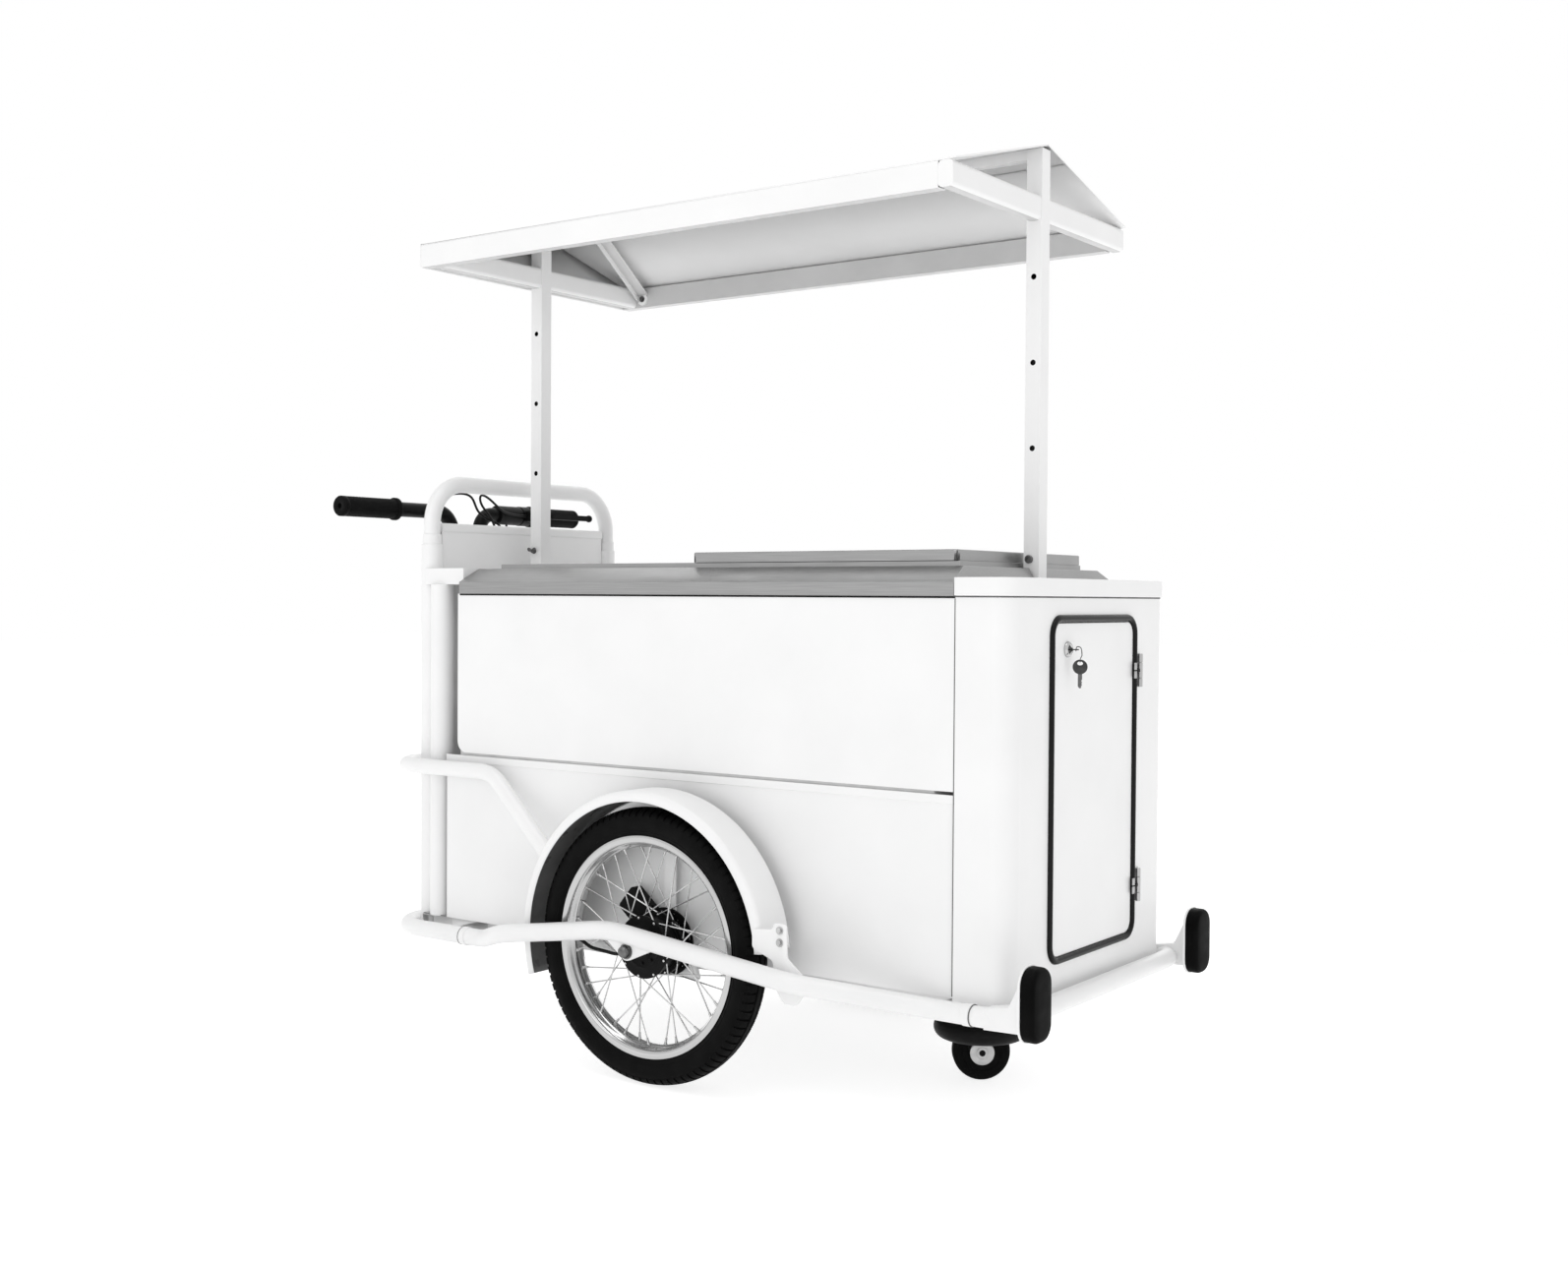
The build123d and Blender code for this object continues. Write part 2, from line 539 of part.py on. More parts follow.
# Body panels
upper = block(BODY_REAR, BODY_FRONT, -PANEL_Y, -PANEL_Y + PANEL_T, UPPER_BOTTOM, PANEL_TOP)
upper = fillet(upper.edges().filter_by(Axis.Y).group_by(Axis.Z)[0].sort_by(Axis.X)[0], 25)
put("upper_panels", *both(upper))
lower = block(-640, BODY_FRONT, -LOWER_Y, -LOWER_Y + PANEL_T, FRAME_TOP, LOWER_TOP)
lower += block(-640, BODY_FRONT, -LOWER_Y - 2, -LOWER_Y, LOWER_TOP - 15, LOWER_TOP)
put("lower_panels", *both(lower))
floor_panel = block(-715, FAIRING_FRONT - FAIRING_T - SEAM, -LOWER_Y + PANEL_T, LOWER_Y - PANEL_T,
                    FRAME_TOP, FRAME_TOP + FLOOR_T)
for y in (-1, 1):
    floor_panel -= rod_z(POST_X, y * POST_Y, POST_R + SEAM, FRAME_TOP, FRAME_TOP + FLOOR_T)
    floor_panel -= rod_z(UPRIGHT_X, y * UPRIGHT_Y, UPRIGHT_R + SEAM, FRAME_TOP, FRAME_TOP + FLOOR_T)
corner_cut = block(FAIRING_FRONT - 60, FAIRING_FRONT, -PANEL_Y, PANEL_Y, 0, FRAME_TOP + FLOOR_T)
corner_cut -= rounded_z(0, FAIRING_FRONT - FAIRING_T - SEAM, PANEL_Y - FAIRING_T - SEAM,
                        FAIRING_CORNER - FAIRING_T, 0, FRAME_TOP + FLOOR_T)
put("floor_panel", floor_panel - corner_cut)

# Tub: foam around a thin liner
foam_z = FRAME_TOP + FLOOR_T
tub = block(TUB[0], TUB[1], -TUB[2], TUB[2], TUB_FLOOR, DECK_Z - DECK_T)
foam = block(FOAM[0], FOAM[1], -LOWER_Y + PANEL_T, LOWER_Y - PANEL_T, foam_z, LOWER_TOP)
foam += block(FOAM[0], FOAM[1], -LOWER_Y + PANEL_T, LOWER_Y - PANEL_T, LOWER_TOP, FOAM[2])
put("insulation", foam - tub)
put("inner_liner", tub - block(TUB[0] + TUB_WALL, TUB[1] - TUB_WALL, -TUB[2] + TUB_WALL, TUB[2] - TUB_WALL,
                               TUB_FLOOR + TUB_WALL, DECK_Z))


# Worktop: folded sheet with hips at the sides and front
def hipped(inset):
    edge = PANEL_Y + 2 - inset
    deck = DECK_Z - inset
    rim_top = RIM_TOP - inset / 2
    half = DECK_HALF - inset / 2
    solid = prism_x([(-edge, PANEL_TOP), (-edge, rim_top), (-half, deck), (half, deck), (edge, rim_top),
                     (edge, PANEL_TOP)], DECK_X[0] + inset, DECK_X[1] - inset)
    front = DECK_X[1] - inset
    past = DECK_X[1] + 20
    return solid - prism_y([(front - HIP_FRONT, deck), (front, rim_top), (past, rim_top), (past, deck + 20),
                            (front - HIP_FRONT, deck + 20)], -edge - 20, edge + 20)


TONGUE = (585.0, 22.0)
well = rounded_z(WELL[0], WELL[1], WELL[2], 20, PANEL_TOP, GUIDE_TOP)
worktop = hipped(0) - hipped(DECK_T) - well
worktop -= block(TONGUE[0] - SEAM, DECK_X[1] + 20, -TONGUE[1] - SEAM, TONGUE[1] + SEAM, PANEL_TOP, GUIDE_TOP)
for guide in both(block(*GUIDE_X, -GUIDE_OUT, -GUIDE_IN, DECK_Z, GUIDE_TOP)):
    worktop += guide
worktop += block(GUIDE_X[1] - 20, GUIDE_X[1], -GUIDE_IN, GUIDE_IN, DECK_Z, GUIDE_TOP)
worktop += block(GUIDE_X[0], GUIDE_X[0] + 6, -GUIDE_IN, GUIDE_IN, DECK_Z, GUIDE_TOP)
put("worktop", worktop)
rear_lid = block(REAR_LID[0], REAR_LID[1], -GUIDE_IN + 0.5, GUIDE_IN - 0.5,
                 DECK_Z + SLIDE, DECK_Z + SLIDE + REAR_LID[2])
rear_lid -= block(REAR_LID[0] + 2, REAR_LID[1] - 2, -GUIDE_IN + 2.5, GUIDE_IN - 2.5,
                  DECK_Z + SLIDE, DECK_Z + SLIDE + REAR_LID[2] - 2)
rear_lid += rounded_z(REAR_LID[0] + 16, REAR_LID[0] + 50, 64, 14, DECK_Z + SLIDE, DECK_Z + SLIDE + REAR_LID[2])
pull = rounded_z(REAR_LID[0] + 22, REAR_LID[0] + 44, 55, 10, DECK_Z + 2, GUIDE_TOP)
put("rear_lid", rear_lid - pull)
lid_z = GUIDE_TOP + SLIDE
front_lid = rounded_z(FRONT_LID[0], FRONT_LID[1], FRONT_LID[2], 8, lid_z, lid_z + FRONT_LID[3])
front_lid = fillet(front_lid.faces().sort_by(Axis.Z)[-1].edges(), 3)
front_lid -= block(FRONT_LID[0] + 2, FRONT_LID[1] - 2, -FRONT_LID[2] + 2, FRONT_LID[2] - 2,
                   lid_z, lid_z + FRONT_LID[3] - 2)
put("front_lid", front_lid)

# Front fairing, its cap and what it houses
outer = rounded_z(BODY_FRONT - 200, FAIRING_FRONT, PANEL_Y, FAIRING_CORNER, FRAME_TOP, CAP_Z)
inner = rounded_z(BODY_FRONT - 210, FAIRING_FRONT - FAIRING_T, PANEL_Y - FAIRING_T,
                  FAIRING_CORNER - FAIRING_T, FRAME_TOP, CAP_Z)
fairing = outer - inner - block(BODY_FRONT - 220, BODY_FRONT, -PANEL_Y, PANEL_Y, 0, CAP_TOP)
door_mid = (DOOR_Z[0] + DOOR_Z[1]) / 2
door_tall = DOOR_Z[1] - DOOR_Z[0]


def door_shape(grow):
    return Pos(0, door_mid) * RectangleRounded(2 * (DOOR_HALF + grow), door_tall + 2 * grow, DOOR_CORNER + grow)


put("front_fairing", fairing - prism_x(door_shape(0), FAIRING_FRONT - 10, FAIRING_FRONT + 10))
door_seal = prism_x(door_shape(BEAD) - door_shape(0), FAIRING_FRONT, FAIRING_FRONT + BEAD_PROUD)
put("door_seal", fillet(door_seal.faces().sort_by(Axis.X)[-1].edges(), BEAD_ROUND))
cap_half = PANEL_Y + CAP_OVER
front_cap = cap_shell(BODY_FRONT - 100, FAIRING_FRONT + CAP_OVER, cap_half, FAIRING_CORNER + CAP_OVER,
                      CAP_Z, CAP_TOP, CAP_OVER + FAIRING_T, (BODY_FRONT, FAIRING_FRONT + CAP_OVER + 1))
front_cap += block(TONGUE[0], BODY_FRONT + 6, -TONGUE[1], TONGUE[1], CAP_Z, CAP_TOP)
front_cap -= block(FRONT_POST - stub_gap, FRONT_POST + stub_gap, -stub_gap, stub_gap, CAP_Z, CAP_TOP)
put("front_cap", front_cap)
battery = block(BODY_FRONT + 2, FAIRING_FRONT - 18, -160, 160, foam_z, foam_z + 260)
put("battery", fillet(battery.edges().filter_by(Axis.Z), 6))
put("motor_controller", block(FOAM[1], FOAM[1] + 34, -200, -70, 500, 640))

# Door: a folded tray on two hinges, with a cam lock
door = prism_x(door_shape(-1), DOOR_FACE - DOOR_DEEP, DOOR_FACE)
door -= prism_x(door_shape(-3), DOOR_FACE - DOOR_DEEP, DOOR_FACE - 2)
door -= rod_x(LOCK_Y, LOCK_Z, 10, DOOR_FACE - 2, DOOR_FACE)
put("door_panel", door)
HINGE_HALF = 32.0
KNUCKLE = 15.0
PIN = 2.5
TAB_T = 2.4
tab_x = FAIRING_FRONT + BEAD_PROUD + SLIDE
fixed_leaves = []
door_leaves = []
for z in HINGE_Z:
    leaf = block(FAIRING_FRONT, FAIRING_FRONT + 1.6, HINGE_Y - 6, HINGE_Y + 14, z - HINGE_HALF, z + HINGE_HALF)
    for z0, z1 in ((z - HINGE_HALF, z - KNUCKLE - SLIDE), (z + KNUCKLE + SLIDE, z + HINGE_HALF)):
        leaf += rod_z(HINGE_X, HINGE_Y, 5, z0, z1)
        leaf += block(FAIRING_FRONT, HINGE_X, HINGE_Y, HINGE_Y + 5, z0, z1)
    leaf += rod_z(HINGE_X, HINGE_Y, PIN, z - HINGE_HALF, z + HINGE_HALF)
    fixed_leaves.append(leaf)
    flap = block(DOOR_FACE, tab_x + TAB_T, DOOR_HALF - 16, DOOR_HALF - 2, z - KNUCKLE, z + KNUCKLE)
    flap += block(tab_x, tab_x + TAB_T, DOOR_HALF - 2, HINGE_Y, z - KNUCKLE, z + KNUCKLE)
    flap += rod_z(HINGE_X, HINGE_Y, 5, z - KNUCKLE, z + KNUCKLE)
    door_leaves.append(flap - rod_z(HINGE_X, HINGE_Y, PIN + RUN, z - HINGE_HALF, z + HINGE_HALF))
put("hinge_brackets", *fixed_leaves)
put("door_hinges", *door_leaves)
sleeve = rod_x(LOCK_Y, LOCK_Z, 10, DOOR_FACE - 22, DOOR_FACE) + rod_x(LOCK_Y, LOCK_Z, 14, DOOR_FACE, DOOR_FACE + 3)
put("lock_body", sleeve - rod_x(LOCK_Y, LOCK_Z, 7 + RUN, DOOR_FACE - 22, DOOR_FACE + 3))
plug = rod_x(LOCK_Y, LOCK_Z, 7, DOOR_FACE - 27, DOOR_FACE + 4)
plug += block(DOOR_FACE - 31, DOOR_FACE - 27, LOCK_Y - 8, LOCK_Y + 8, LOCK_Z - 75, LOCK_Z + 8)
put("lock_cylinder", plug)
key_x = DOOR_FACE + 4
bow_x = key_x + 15
key = block(key_x, bow_x, LOCK_Y - 4, LOCK_Y + 4, LOCK_Z - 1.1, LOCK_Z + 1.1)
key += rod_z(bow_x, LOCK_Y, 12.5, LOCK_Z - 1.1, LOCK_Z + 1.1)
eye_x = bow_x + 5.5
key -= rod_z(eye_x, LOCK_Y, 3.5, LOCK_Z - 2, LOCK_Z + 2)
RING_R = 12.0
WIRE = 0.8
ring_x = eye_x + 6.15
ring_z = LOCK_Z + 2.3 - RING_R
hang = Pos(eye_x, LOCK_Y, 0) * Rot(0, 0, KEY_TURN) * Pos(-eye_x, -LOCK_Y, 0)
ring = hang * Pos(ring_x, LOCK_Y, ring_z) * Rot(90, 0, 0) * Torus(RING_R, WIRE)
put("lock_key", key, ring)
hang_z = ring_z - RING_R
spare = rod_x(LOCK_Y, hang_z - 8.5, 12.5, ring_x - 1.1, ring_x + 1.1)
spare += block(ring_x - 1.1, ring_x + 1.1, LOCK_Y - 4, LOCK_Y + 4, hang_z - 40, hang_z - 16)
spare -= rod_x(LOCK_Y, hang_z - 2.0, 3, ring_x - 2, ring_x + 2)
put("spare_key", hang * spare)

# Canopy: square posts over fixed stubs, roof frame and sheet
put("post_stubs", square_tube(FRONT_POST, 0, STUB_SIZE, 3, foam_z, STUB_TOP),
    square_tube(REAR_POST, 0, STUB_SIZE, 3, foam_z, STUB_TOP))
slope = (RIDGE_Z - EAVE_Z) / ROOF_HALF
post_top = RIDGE_Z - SHEET - slope * POST_SIZE / 2 - SEAM
canopy_posts = []
for x, foot in ((FRONT_POST, CAP_TOP), (REAR_POST, REAR_CAP[4])):
    post = square_tube(x, 0, POST_SIZE, POST_WALL, foot + SLIDE, post_top)
    for z in PIN_Z:
        post -= rod_y(x, z, PIN_R, -POST_SIZE, POST_SIZE)
    canopy_posts.append(post)
put("canopy_posts", *canopy_posts)
roof_x0, roof_x1 = ROOF_X
beam_top = EAVE_Z - SHEET
beam_bottom = beam_top - BEAM_H
fascia_in = ROOF_HALF - BEAM_W
beam_half = POST_SIZE / 2 - 1
fascia_x = (roof_x0 + SHEET, FRONT_POST - beam_half)
fascia = block(*fascia_x, -ROOF_HALF, -fascia_in, beam_bottom, beam_top)
fascia -= block(*fascia_x, -ROOF_HALF + 2, -fascia_in - 2, beam_bottom + 2, beam_top - 2)
ridge_half = 10.0
ridge_top = RIDGE_Z - SHEET - slope * ridge_half
ridge_x = (REAR_POST + POST_SIZE / 2, FRONT_POST - POST_SIZE / 2)
ridge_core = block(*ridge_x, -ridge_half, ridge_half, ridge_top - 20, ridge_top)
ridge = ridge_core - block(*ridge_x, -ridge_half + 2, ridge_half - 2, ridge_top - 18, ridge_top - 2)
beam_z = (beam_bottom + beam_top) / 2
outside = RectangleRounded(2 * beam_half, BEAM_H, 9)
section = outside - RectangleRounded(2 * beam_half - 5, BEAM_H - 5, 6.5)
rear_end = prism_y(Pos(REAR_POST, beam_z) * section, -fascia_in, -POST_SIZE / 2)
front_end = prism_y(Pos(FRONT_POST, beam_z) * section, -ROOF_HALF, -POST_SIZE / 2)
front_end += prism_y(Pos(FRONT_POST, beam_z) * outside, -ROOF_HALF, -ROOF_HALF + 2)
ends = [rear_end, front_end]
STAY = (28.0, 14.0, 2.5)
stay_start = Vector(REAR_POST + 34, -fascia_in - 5, beam_top - 20)
stay_run = Vector(REAR_POST + 154, -ridge_half, ridge_top - 9) - stay_start
angle = Rectangle(STAY[0], STAY[2]) + Pos((STAY[2] - STAY[0]) / 2, STAY[1] / 2) * Rectangle(STAY[2], STAY[1])
stay_plane = Plane(stay_start, x_dir=stay_run.cross(Vector(0, 0, 1)), z_dir=stay_run)
stay_bar = extrude(stay_plane * angle, stay_run.length)
stay_bar = stay_bar - ridge_core - block(roof_x0, roof_x1, -ROOF_HALF, -fascia_in, beam_bottom, beam_top)
put("roof_frame", ridge, *both(fascia, *ends, stay_bar))
slab = prism_x([(0, RIDGE_Z), (0, RIDGE_Z - SHEET), (-ROOF_HALF, EAVE_Z - SHEET), (-ROOF_HALF, EAVE_Z)],
               roof_x0 + SHEET, roof_x1)
gable = prism_x([(-ROOF_HALF, beam_bottom), (-ROOF_HALF, EAVE_Z), (0, RIDGE_Z), (ROOF_HALF, EAVE_Z),
                 (ROOF_HALF, beam_bottom)], roof_x0, roof_x0 + SHEET)
put("roof_panels", gable, *both(slab))

# Caster: plate, swivelling fork with its guard ring, and the wheel
at_caster = Pos(CASTER_X, 0, 0) * Rot(0, 0, CASTER_TURN)
put("caster_plate", block(CASTER_X - 48, CASTER_X + 48, -42, 42, FRAME_Z - 6, FRAME_Z)
    + rod_z(CASTER_X, 0, 30, FRAME_Z - 24, FRAME_Z - 6) - rod_z(CASTER_X, 0, 8 + RUN, FRAME_Z - 24, FRAME_Z))
head_top = FRAME_Z - 24 - SLIDE
fork = rod_z(0, 0, 28, head_top - 15, head_top) + rod_z(0, 0, 8, head_top, FRAME_Z - 4)
leg_in = CASTER_W / 2 + 4
for leg in both(prism_y([(-28, head_top - 9), (28, head_top - 9), (28, 150), (-6, 42), (-44, 42), (-44, 78),
                         (-28, 132)], -leg_in - 4, -leg_in)):
    fork += leg
fork += block(-28, 28, -leg_in - 4, leg_in + 4, head_top - 15, head_top - 9)
guard = Pos(-CASTER_TRAIL, 0, GUARD_Z) * Torus(GUARD_R, GUARD_TUBE)
for tab in both(block(-CASTER_TRAIL - 9, -CASTER_TRAIL + 9, -GUARD_R, -leg_in, GUARD_Z - 8, GUARD_Z + 8)):
    fork += tab - guard
fork += rod_y(-CASTER_TRAIL, CASTER_R, 6, -leg_in - 8, leg_in + 8)
put("caster_fork", at_caster * fork)
put("caster_guard", at_caster * guard)
caster_hub = 28.0
at_caster_wheel = at_caster * Pos(-CASTER_TRAIL, 0, CASTER_R)
half = CASTER_W / 2
put("caster_tyre", at_caster_wheel * turned([(-half + 2, caster_hub), (-half + 2, 38), (-half, 42), (-half, 48),
                                             (-half + 6, CASTER_R), (half - 6, CASTER_R), (half, 48), (half, 42),
                                             (half - 2, 38), (half - 2, caster_hub)]))
put("caster_hub", at_caster_wheel * turned([(-half - 2, 6 + RUN), (-half - 2, 12), (-half + 4, 14), (-half + 4, 26),
                                            (-half, caster_hub), (half, caster_hub), (half - 4, 26), (half - 4, 14),
                                            (half + 2, 12), (half + 2, 6 + RUN)]))
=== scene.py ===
"""Looks of the ice pushcart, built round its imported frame.

Metres, +Z up, front towards +X, the operator's right hand at -Y. Routes and outlines are
given in millimetres from the floor under the wheel axle, and at() puts them in the frame.
"""
import json
from math import cos, pi, radians, sin, tan

import bmesh
import bpy
from mathutils import Matrix, Vector


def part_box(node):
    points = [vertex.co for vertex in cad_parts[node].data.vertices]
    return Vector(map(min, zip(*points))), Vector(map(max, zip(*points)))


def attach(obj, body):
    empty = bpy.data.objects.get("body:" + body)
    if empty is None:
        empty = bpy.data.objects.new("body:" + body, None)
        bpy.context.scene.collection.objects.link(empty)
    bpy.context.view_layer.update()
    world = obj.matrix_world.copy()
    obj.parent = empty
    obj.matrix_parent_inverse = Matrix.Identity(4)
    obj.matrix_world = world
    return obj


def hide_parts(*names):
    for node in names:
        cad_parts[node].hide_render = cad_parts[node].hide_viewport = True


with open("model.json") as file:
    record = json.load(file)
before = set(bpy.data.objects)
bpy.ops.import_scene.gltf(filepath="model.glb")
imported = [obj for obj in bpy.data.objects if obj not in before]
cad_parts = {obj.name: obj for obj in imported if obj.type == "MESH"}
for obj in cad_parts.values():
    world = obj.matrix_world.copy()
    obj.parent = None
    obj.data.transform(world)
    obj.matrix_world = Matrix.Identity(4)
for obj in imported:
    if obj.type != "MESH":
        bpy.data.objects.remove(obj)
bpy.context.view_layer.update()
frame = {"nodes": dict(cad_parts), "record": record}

MM = 0.001

FORWARD = (1, 0, 0)
LEFT = (0, 1, 0)
RIGHT = (0, -1, 0)
UP = (0, 0, 1)

nodes = frame["nodes"]
record = frame["record"]
body_of = {node: body for body, members in record["behaviour"]["bodies"].items() for node in members}


def middle(node):
    low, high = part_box(node)
    return (low + high) / 2


AXLE = middle("axles")


def at(x, y, z):
    """A point in millimetres from the floor under the axle, as a point of the frame."""
    return Vector((AXLE.x + x * MM, y * MM, z * MM))


# Camera, as the photograph was taken
PHOTO_WIDTH = 1594
FOCAL_PIXELS = 1761
SENSOR = 36.0
CAMERA_PLACE = at(2134, -2930, 930)
CAMERA_TURN = 35.77
CAMERA_ROLL = 0.37
CAMERA_PITCH = 88.91


def camera():
    lens = bpy.data.cameras.new("photo_camera")
    lens.sensor_width = SENSOR
    lens.lens = SENSOR * FOCAL_PIXELS / PHOTO_WIDTH
    viewer = bpy.data.objects.new("photo_camera", lens)
    viewer.location = CAMERA_PLACE
    turn = Matrix.Rotation(radians(CAMERA_TURN), 4, "Z") @ Matrix.Rotation(radians(CAMERA_PITCH), 4, "X")
    viewer.rotation_euler = (turn @ Matrix.Rotation(radians(CAMERA_ROLL), 4, "Z")).to_euler()
    bpy.context.scene.collection.objects.link(viewer)
    bpy.context.scene.camera = viewer


# Shader nodes
def feed(tree, node, **inputs):
    """Set a node's inputs, or link them where an output is given; underscores stand for spaces."""
    for name, value in inputs.items():
        socket = node.inputs[name.replace("_", " ")]
        if isinstance(value, bpy.types.NodeSocket):
            tree.links.new(value, socket)
        else:
            socket.default_value = value


def add(tree, kind, **inputs):
    node = tree.nodes.new(f"ShaderNode{kind}")
    feed(tree, node, **inputs)
    return node


def blend(tree, kind, *sources, operation=None):
    """A new node with sources linked to its inputs in their order; gives its first output."""
    node = add(tree, kind)
    if operation:
        node.operation = operation
    for source, socket in zip(sources, node.inputs):
        tree.links.new(source, socket)
    return node.outputs[0]


def plain(level):
    return (level, level, level, 1)


# Studio: white world, pale floor, large soft lamps
AMBIENT = 0.66
FLOOR_HALF = 30.0
FLOOR_GLOW = 0.8
FLOOR_SHADE = 0.48
FLOOR_COLOUR = 0.85
FLOOR_LIFT = 0.56
FLOOR_FADE = (0.3, 1.3)
LAMPS = {
    "top_soft": ((0.6, -1.6, 9.0), (0.0, 0.0, 0.8), 6.0, 210.0),
    "back_soft": ((-1.5, 4.0, 2.4), (0.0, 0.0, 0.8), 4.5, 45.0),
    "high_fill": ((0.2, -4.4, 2.6), (0.0, 0.0, 0.4), 3.0, 22.0),
}


def seen_rays(tree):
    """One where the ray comes from the camera, a mirror or glass, and nought elsewhere."""
    path = add(tree, "LightPath")
    found = path.outputs["Is Camera Ray"]
    for name in ("Is Glossy Ray", "Is Transmission Ray"):
        found = blend(tree, "Math", found, path.outputs[name], operation="MAXIMUM")
    return found


def white_world():
    world = bpy.data.worlds.new("white_studio")
    world.use_nodes = True
    tree = world.node_tree
    level = add(tree, "MapRange", Value=seen_rays(tree), To_Min=AMBIENT, To_Max=1.0)
    feed(tree, tree.nodes["Background"], Color=plain(1), Strength=level.outputs["Result"])
    bpy.context.scene.world = world
    bpy.context.scene.view_settings.view_transform = "Standard"


def glowing(tree, colour, strength):
    """A matt grey with a glow added."""
    matt = add(tree, "BsdfDiffuse", Color=plain(colour))
    glow = add(tree, "Emission", Strength=strength)
    return blend(tree, "AddShader", matt.outputs[0], glow.outputs[0])


def floor_finish():
    """Bright to rays that see it; to the rest a pale bounce that grows away from the cart."""
    pale = bpy.data.materials.new("pale_floor")
    pale.use_nodes = True
    tree = pale.node_tree
    tree.nodes.remove(tree.nodes["Principled BSDF"])
    away = add(tree, "VectorMath", Vector=add(tree, "TexCoord").outputs["Object"])
    away.operation = "LENGTH"
    fade = add(tree, "MapRange", Value=away.outputs["Value"], From_Min=FLOOR_FADE[0], From_Max=FLOOR_FADE[1],
               To_Max=FLOOR_LIFT)
    bounce = glowing(tree, FLOOR_COLOUR, fade.outputs["Result"])
    seen = glowing(tree, FLOOR_SHADE, FLOOR_GLOW)
    surface = blend(tree, "MixShader", seen_rays(tree), bounce, seen)
    feed(tree, tree.nodes["Material Output"], Surface=surface)
    return pale


def studio():
    white_world()
    bm = bmesh.new()
    bmesh.ops.create_grid(bm, x_segments=1, y_segments=1, size=FLOOR_HALF)
    mesh = bpy.data.meshes.new("studio_floor")
    bm.to_mesh(mesh)
    bm.free()
    floor = bpy.data.objects.new("studio_floor", mesh)
    bpy.context.scene.collection.objects.link(floor)
    mesh.materials.append(floor_finish())
    for name, (place, aim, size, power) in LAMPS.items():
        light = bpy.data.lights.new(name, "AREA")
        light.size = size
        light.energy = power
        lamp = bpy.data.objects.new(name, light)
        lamp.location = place
        lamp.rotation_euler = (Vector(aim) - Vector(place)).to_track_quat("-Z", "Y").to_euler()
        bpy.context.scene.collection.objects.link(lamp)


# Finishes
NOISE_MIDDLE = (0.3, 0.7)
SCRATCH_STRETCH = 0.012
PEEL_DEPTH = 0.00006
SCRATCH_DEPTH = 0.00003
PLATING_DEPTH = 0.00001


def spots(tree, scale, detail=3.0, stretch=(1.0, 1.0, 1.0)):
    """Cloudy noise on Object coordinates, stretched along the axes."""
    mapping = add(tree, "Mapping", Vector=add(tree, "TexCoord").outputs["Object"], Scale=stretch)
    return add(tree, "TexNoise", Vector=mapping.outputs["Vector"], Scale=scale, Detail=detail).outputs[0]


def finish(name, greys, clouds, rough, gloss, grain, depth, **sockets):
    """A material with greys, roughness and relief each over a noise; sockets set more inputs."""
    material = bpy.data.materials.new(name)
    material.use_nodes = True
    tree = material.node_tree
    ramp = add(tree, "ValToRGB", Fac=spots(tree, *clouds))
    for element, place, level in zip(ramp.color_ramp.elements, NOISE_MIDDLE, greys):
        element.position = place
        element.color = plain(level)
    ranged = add(tree, "MapRange", Value=spots(tree, *gloss), From_Min=NOISE_MIDDLE[0],
                 From_Max=NOISE_MIDDLE[1], To_Min=rough[0], To_Max=rough[1])
    bump = add(tree, "Bump", Height=spots(tree, *grain), Distance=depth)
    feed(tree, tree.nodes["Principled BSDF"], Base_Color=ramp.outputs["Color"],
         Roughness=ranged.outputs["Result"], Normal=bump.outputs["Normal"], **sockets)
    return material


def powder_coat(name, dark, light, rough=(0.3, 0.4), shine=0.5):
    """Powder-coated steel: faint clouding and fine orange peel."""
    return finish(name, (dark, light), (7.0, 4.0), rough, (40.0, 3.0), (650.0, 2.0), PEEL_DEPTH,
                  Specular_IOR_Level=shine)


def brushed(name, dark, light, rough, along):
    """Brushed metal: fine scratches along one axis in colour and relief."""
    scratches = (900.0, 3.0, tuple(SCRATCH_STRETCH if axis == along else 1.0 for axis in "XYZ"))
    return finish(name, (dark, light), scratches, rough, (9.0, 4.0), scratches, SCRATCH_DEPTH, Metallic=1.0)


def polished(name, dark, light, rough, cloud=30.0):
    """Plated, cast or polished metal with faint clouding."""
    return finish(name, (dark, light), (cloud, 4.0), rough, (cloud * 3, 3.0), (900.0, 2.0), PLATING_DEPTH,
                  Metallic=1.0)


def moulded(name, dark, light, rough, shine=0.2, grain=700.0, depth=0.00008, cloud=25.0):
    """Rubber, plastic or black paint: dusty clouding and a fine moulded grain."""
    return finish(name, (dark, light), (cloud, 5.0), rough, (cloud * 2, 4.0), (grain, 2.0), depth,
                  Specular_IOR_Level=shine)


WHITE = powder_coat("white_powder_coat", 0.845, 0.875)
# A touch paler than the white paint, as painted light for the shaded underside of the roof.
ROOF = powder_coat("roof_sheet_white", 0.86, 0.885, (0.35, 0.45), 0.2)
# Grey for the inner faces of the roof fascias and the undersides of the roof beams: painted shade.
FASCIA_PAINTED_SHADE = powder_coat("fascia_painted_shade", 0.52, 0.58, (0.4, 0.5))
FRAME_GREY = powder_coat("frame_grey_coat", 0.42, 0.5, (0.4, 0.5))
BLACK_PAINT = moulded("black_bar_paint", 0.004, 0.008, (0.3, 0.42), 0.08)
BLACK_PLASTIC = moulded("black_moulded_plastic", 0.005, 0.009, (0.4, 0.52), 0.1)
BLACK_METAL = moulded("black_coated_metal", 0.003, 0.006, (0.32, 0.46), 0.08)
TYRE = moulded("tyre_rubber", 0.003, 0.006, (0.5, 0.66), 0.05, 420.0, 0.00015, 40.0)
GRIP = moulded("grip_rubber", 0.003, 0.006, (0.5, 0.62), 0.06, 900.0, 0.0001)
BUMPER = moulded("bumper_rubber", 0.002, 0.005, (0.45, 0.6), 0.035, 520.0, 0.0001, 22.0)
SEAL = moulded("seal_rubber", 0.003, 0.006, (0.18, 0.28), 0.16, 900.0, 0.00003)
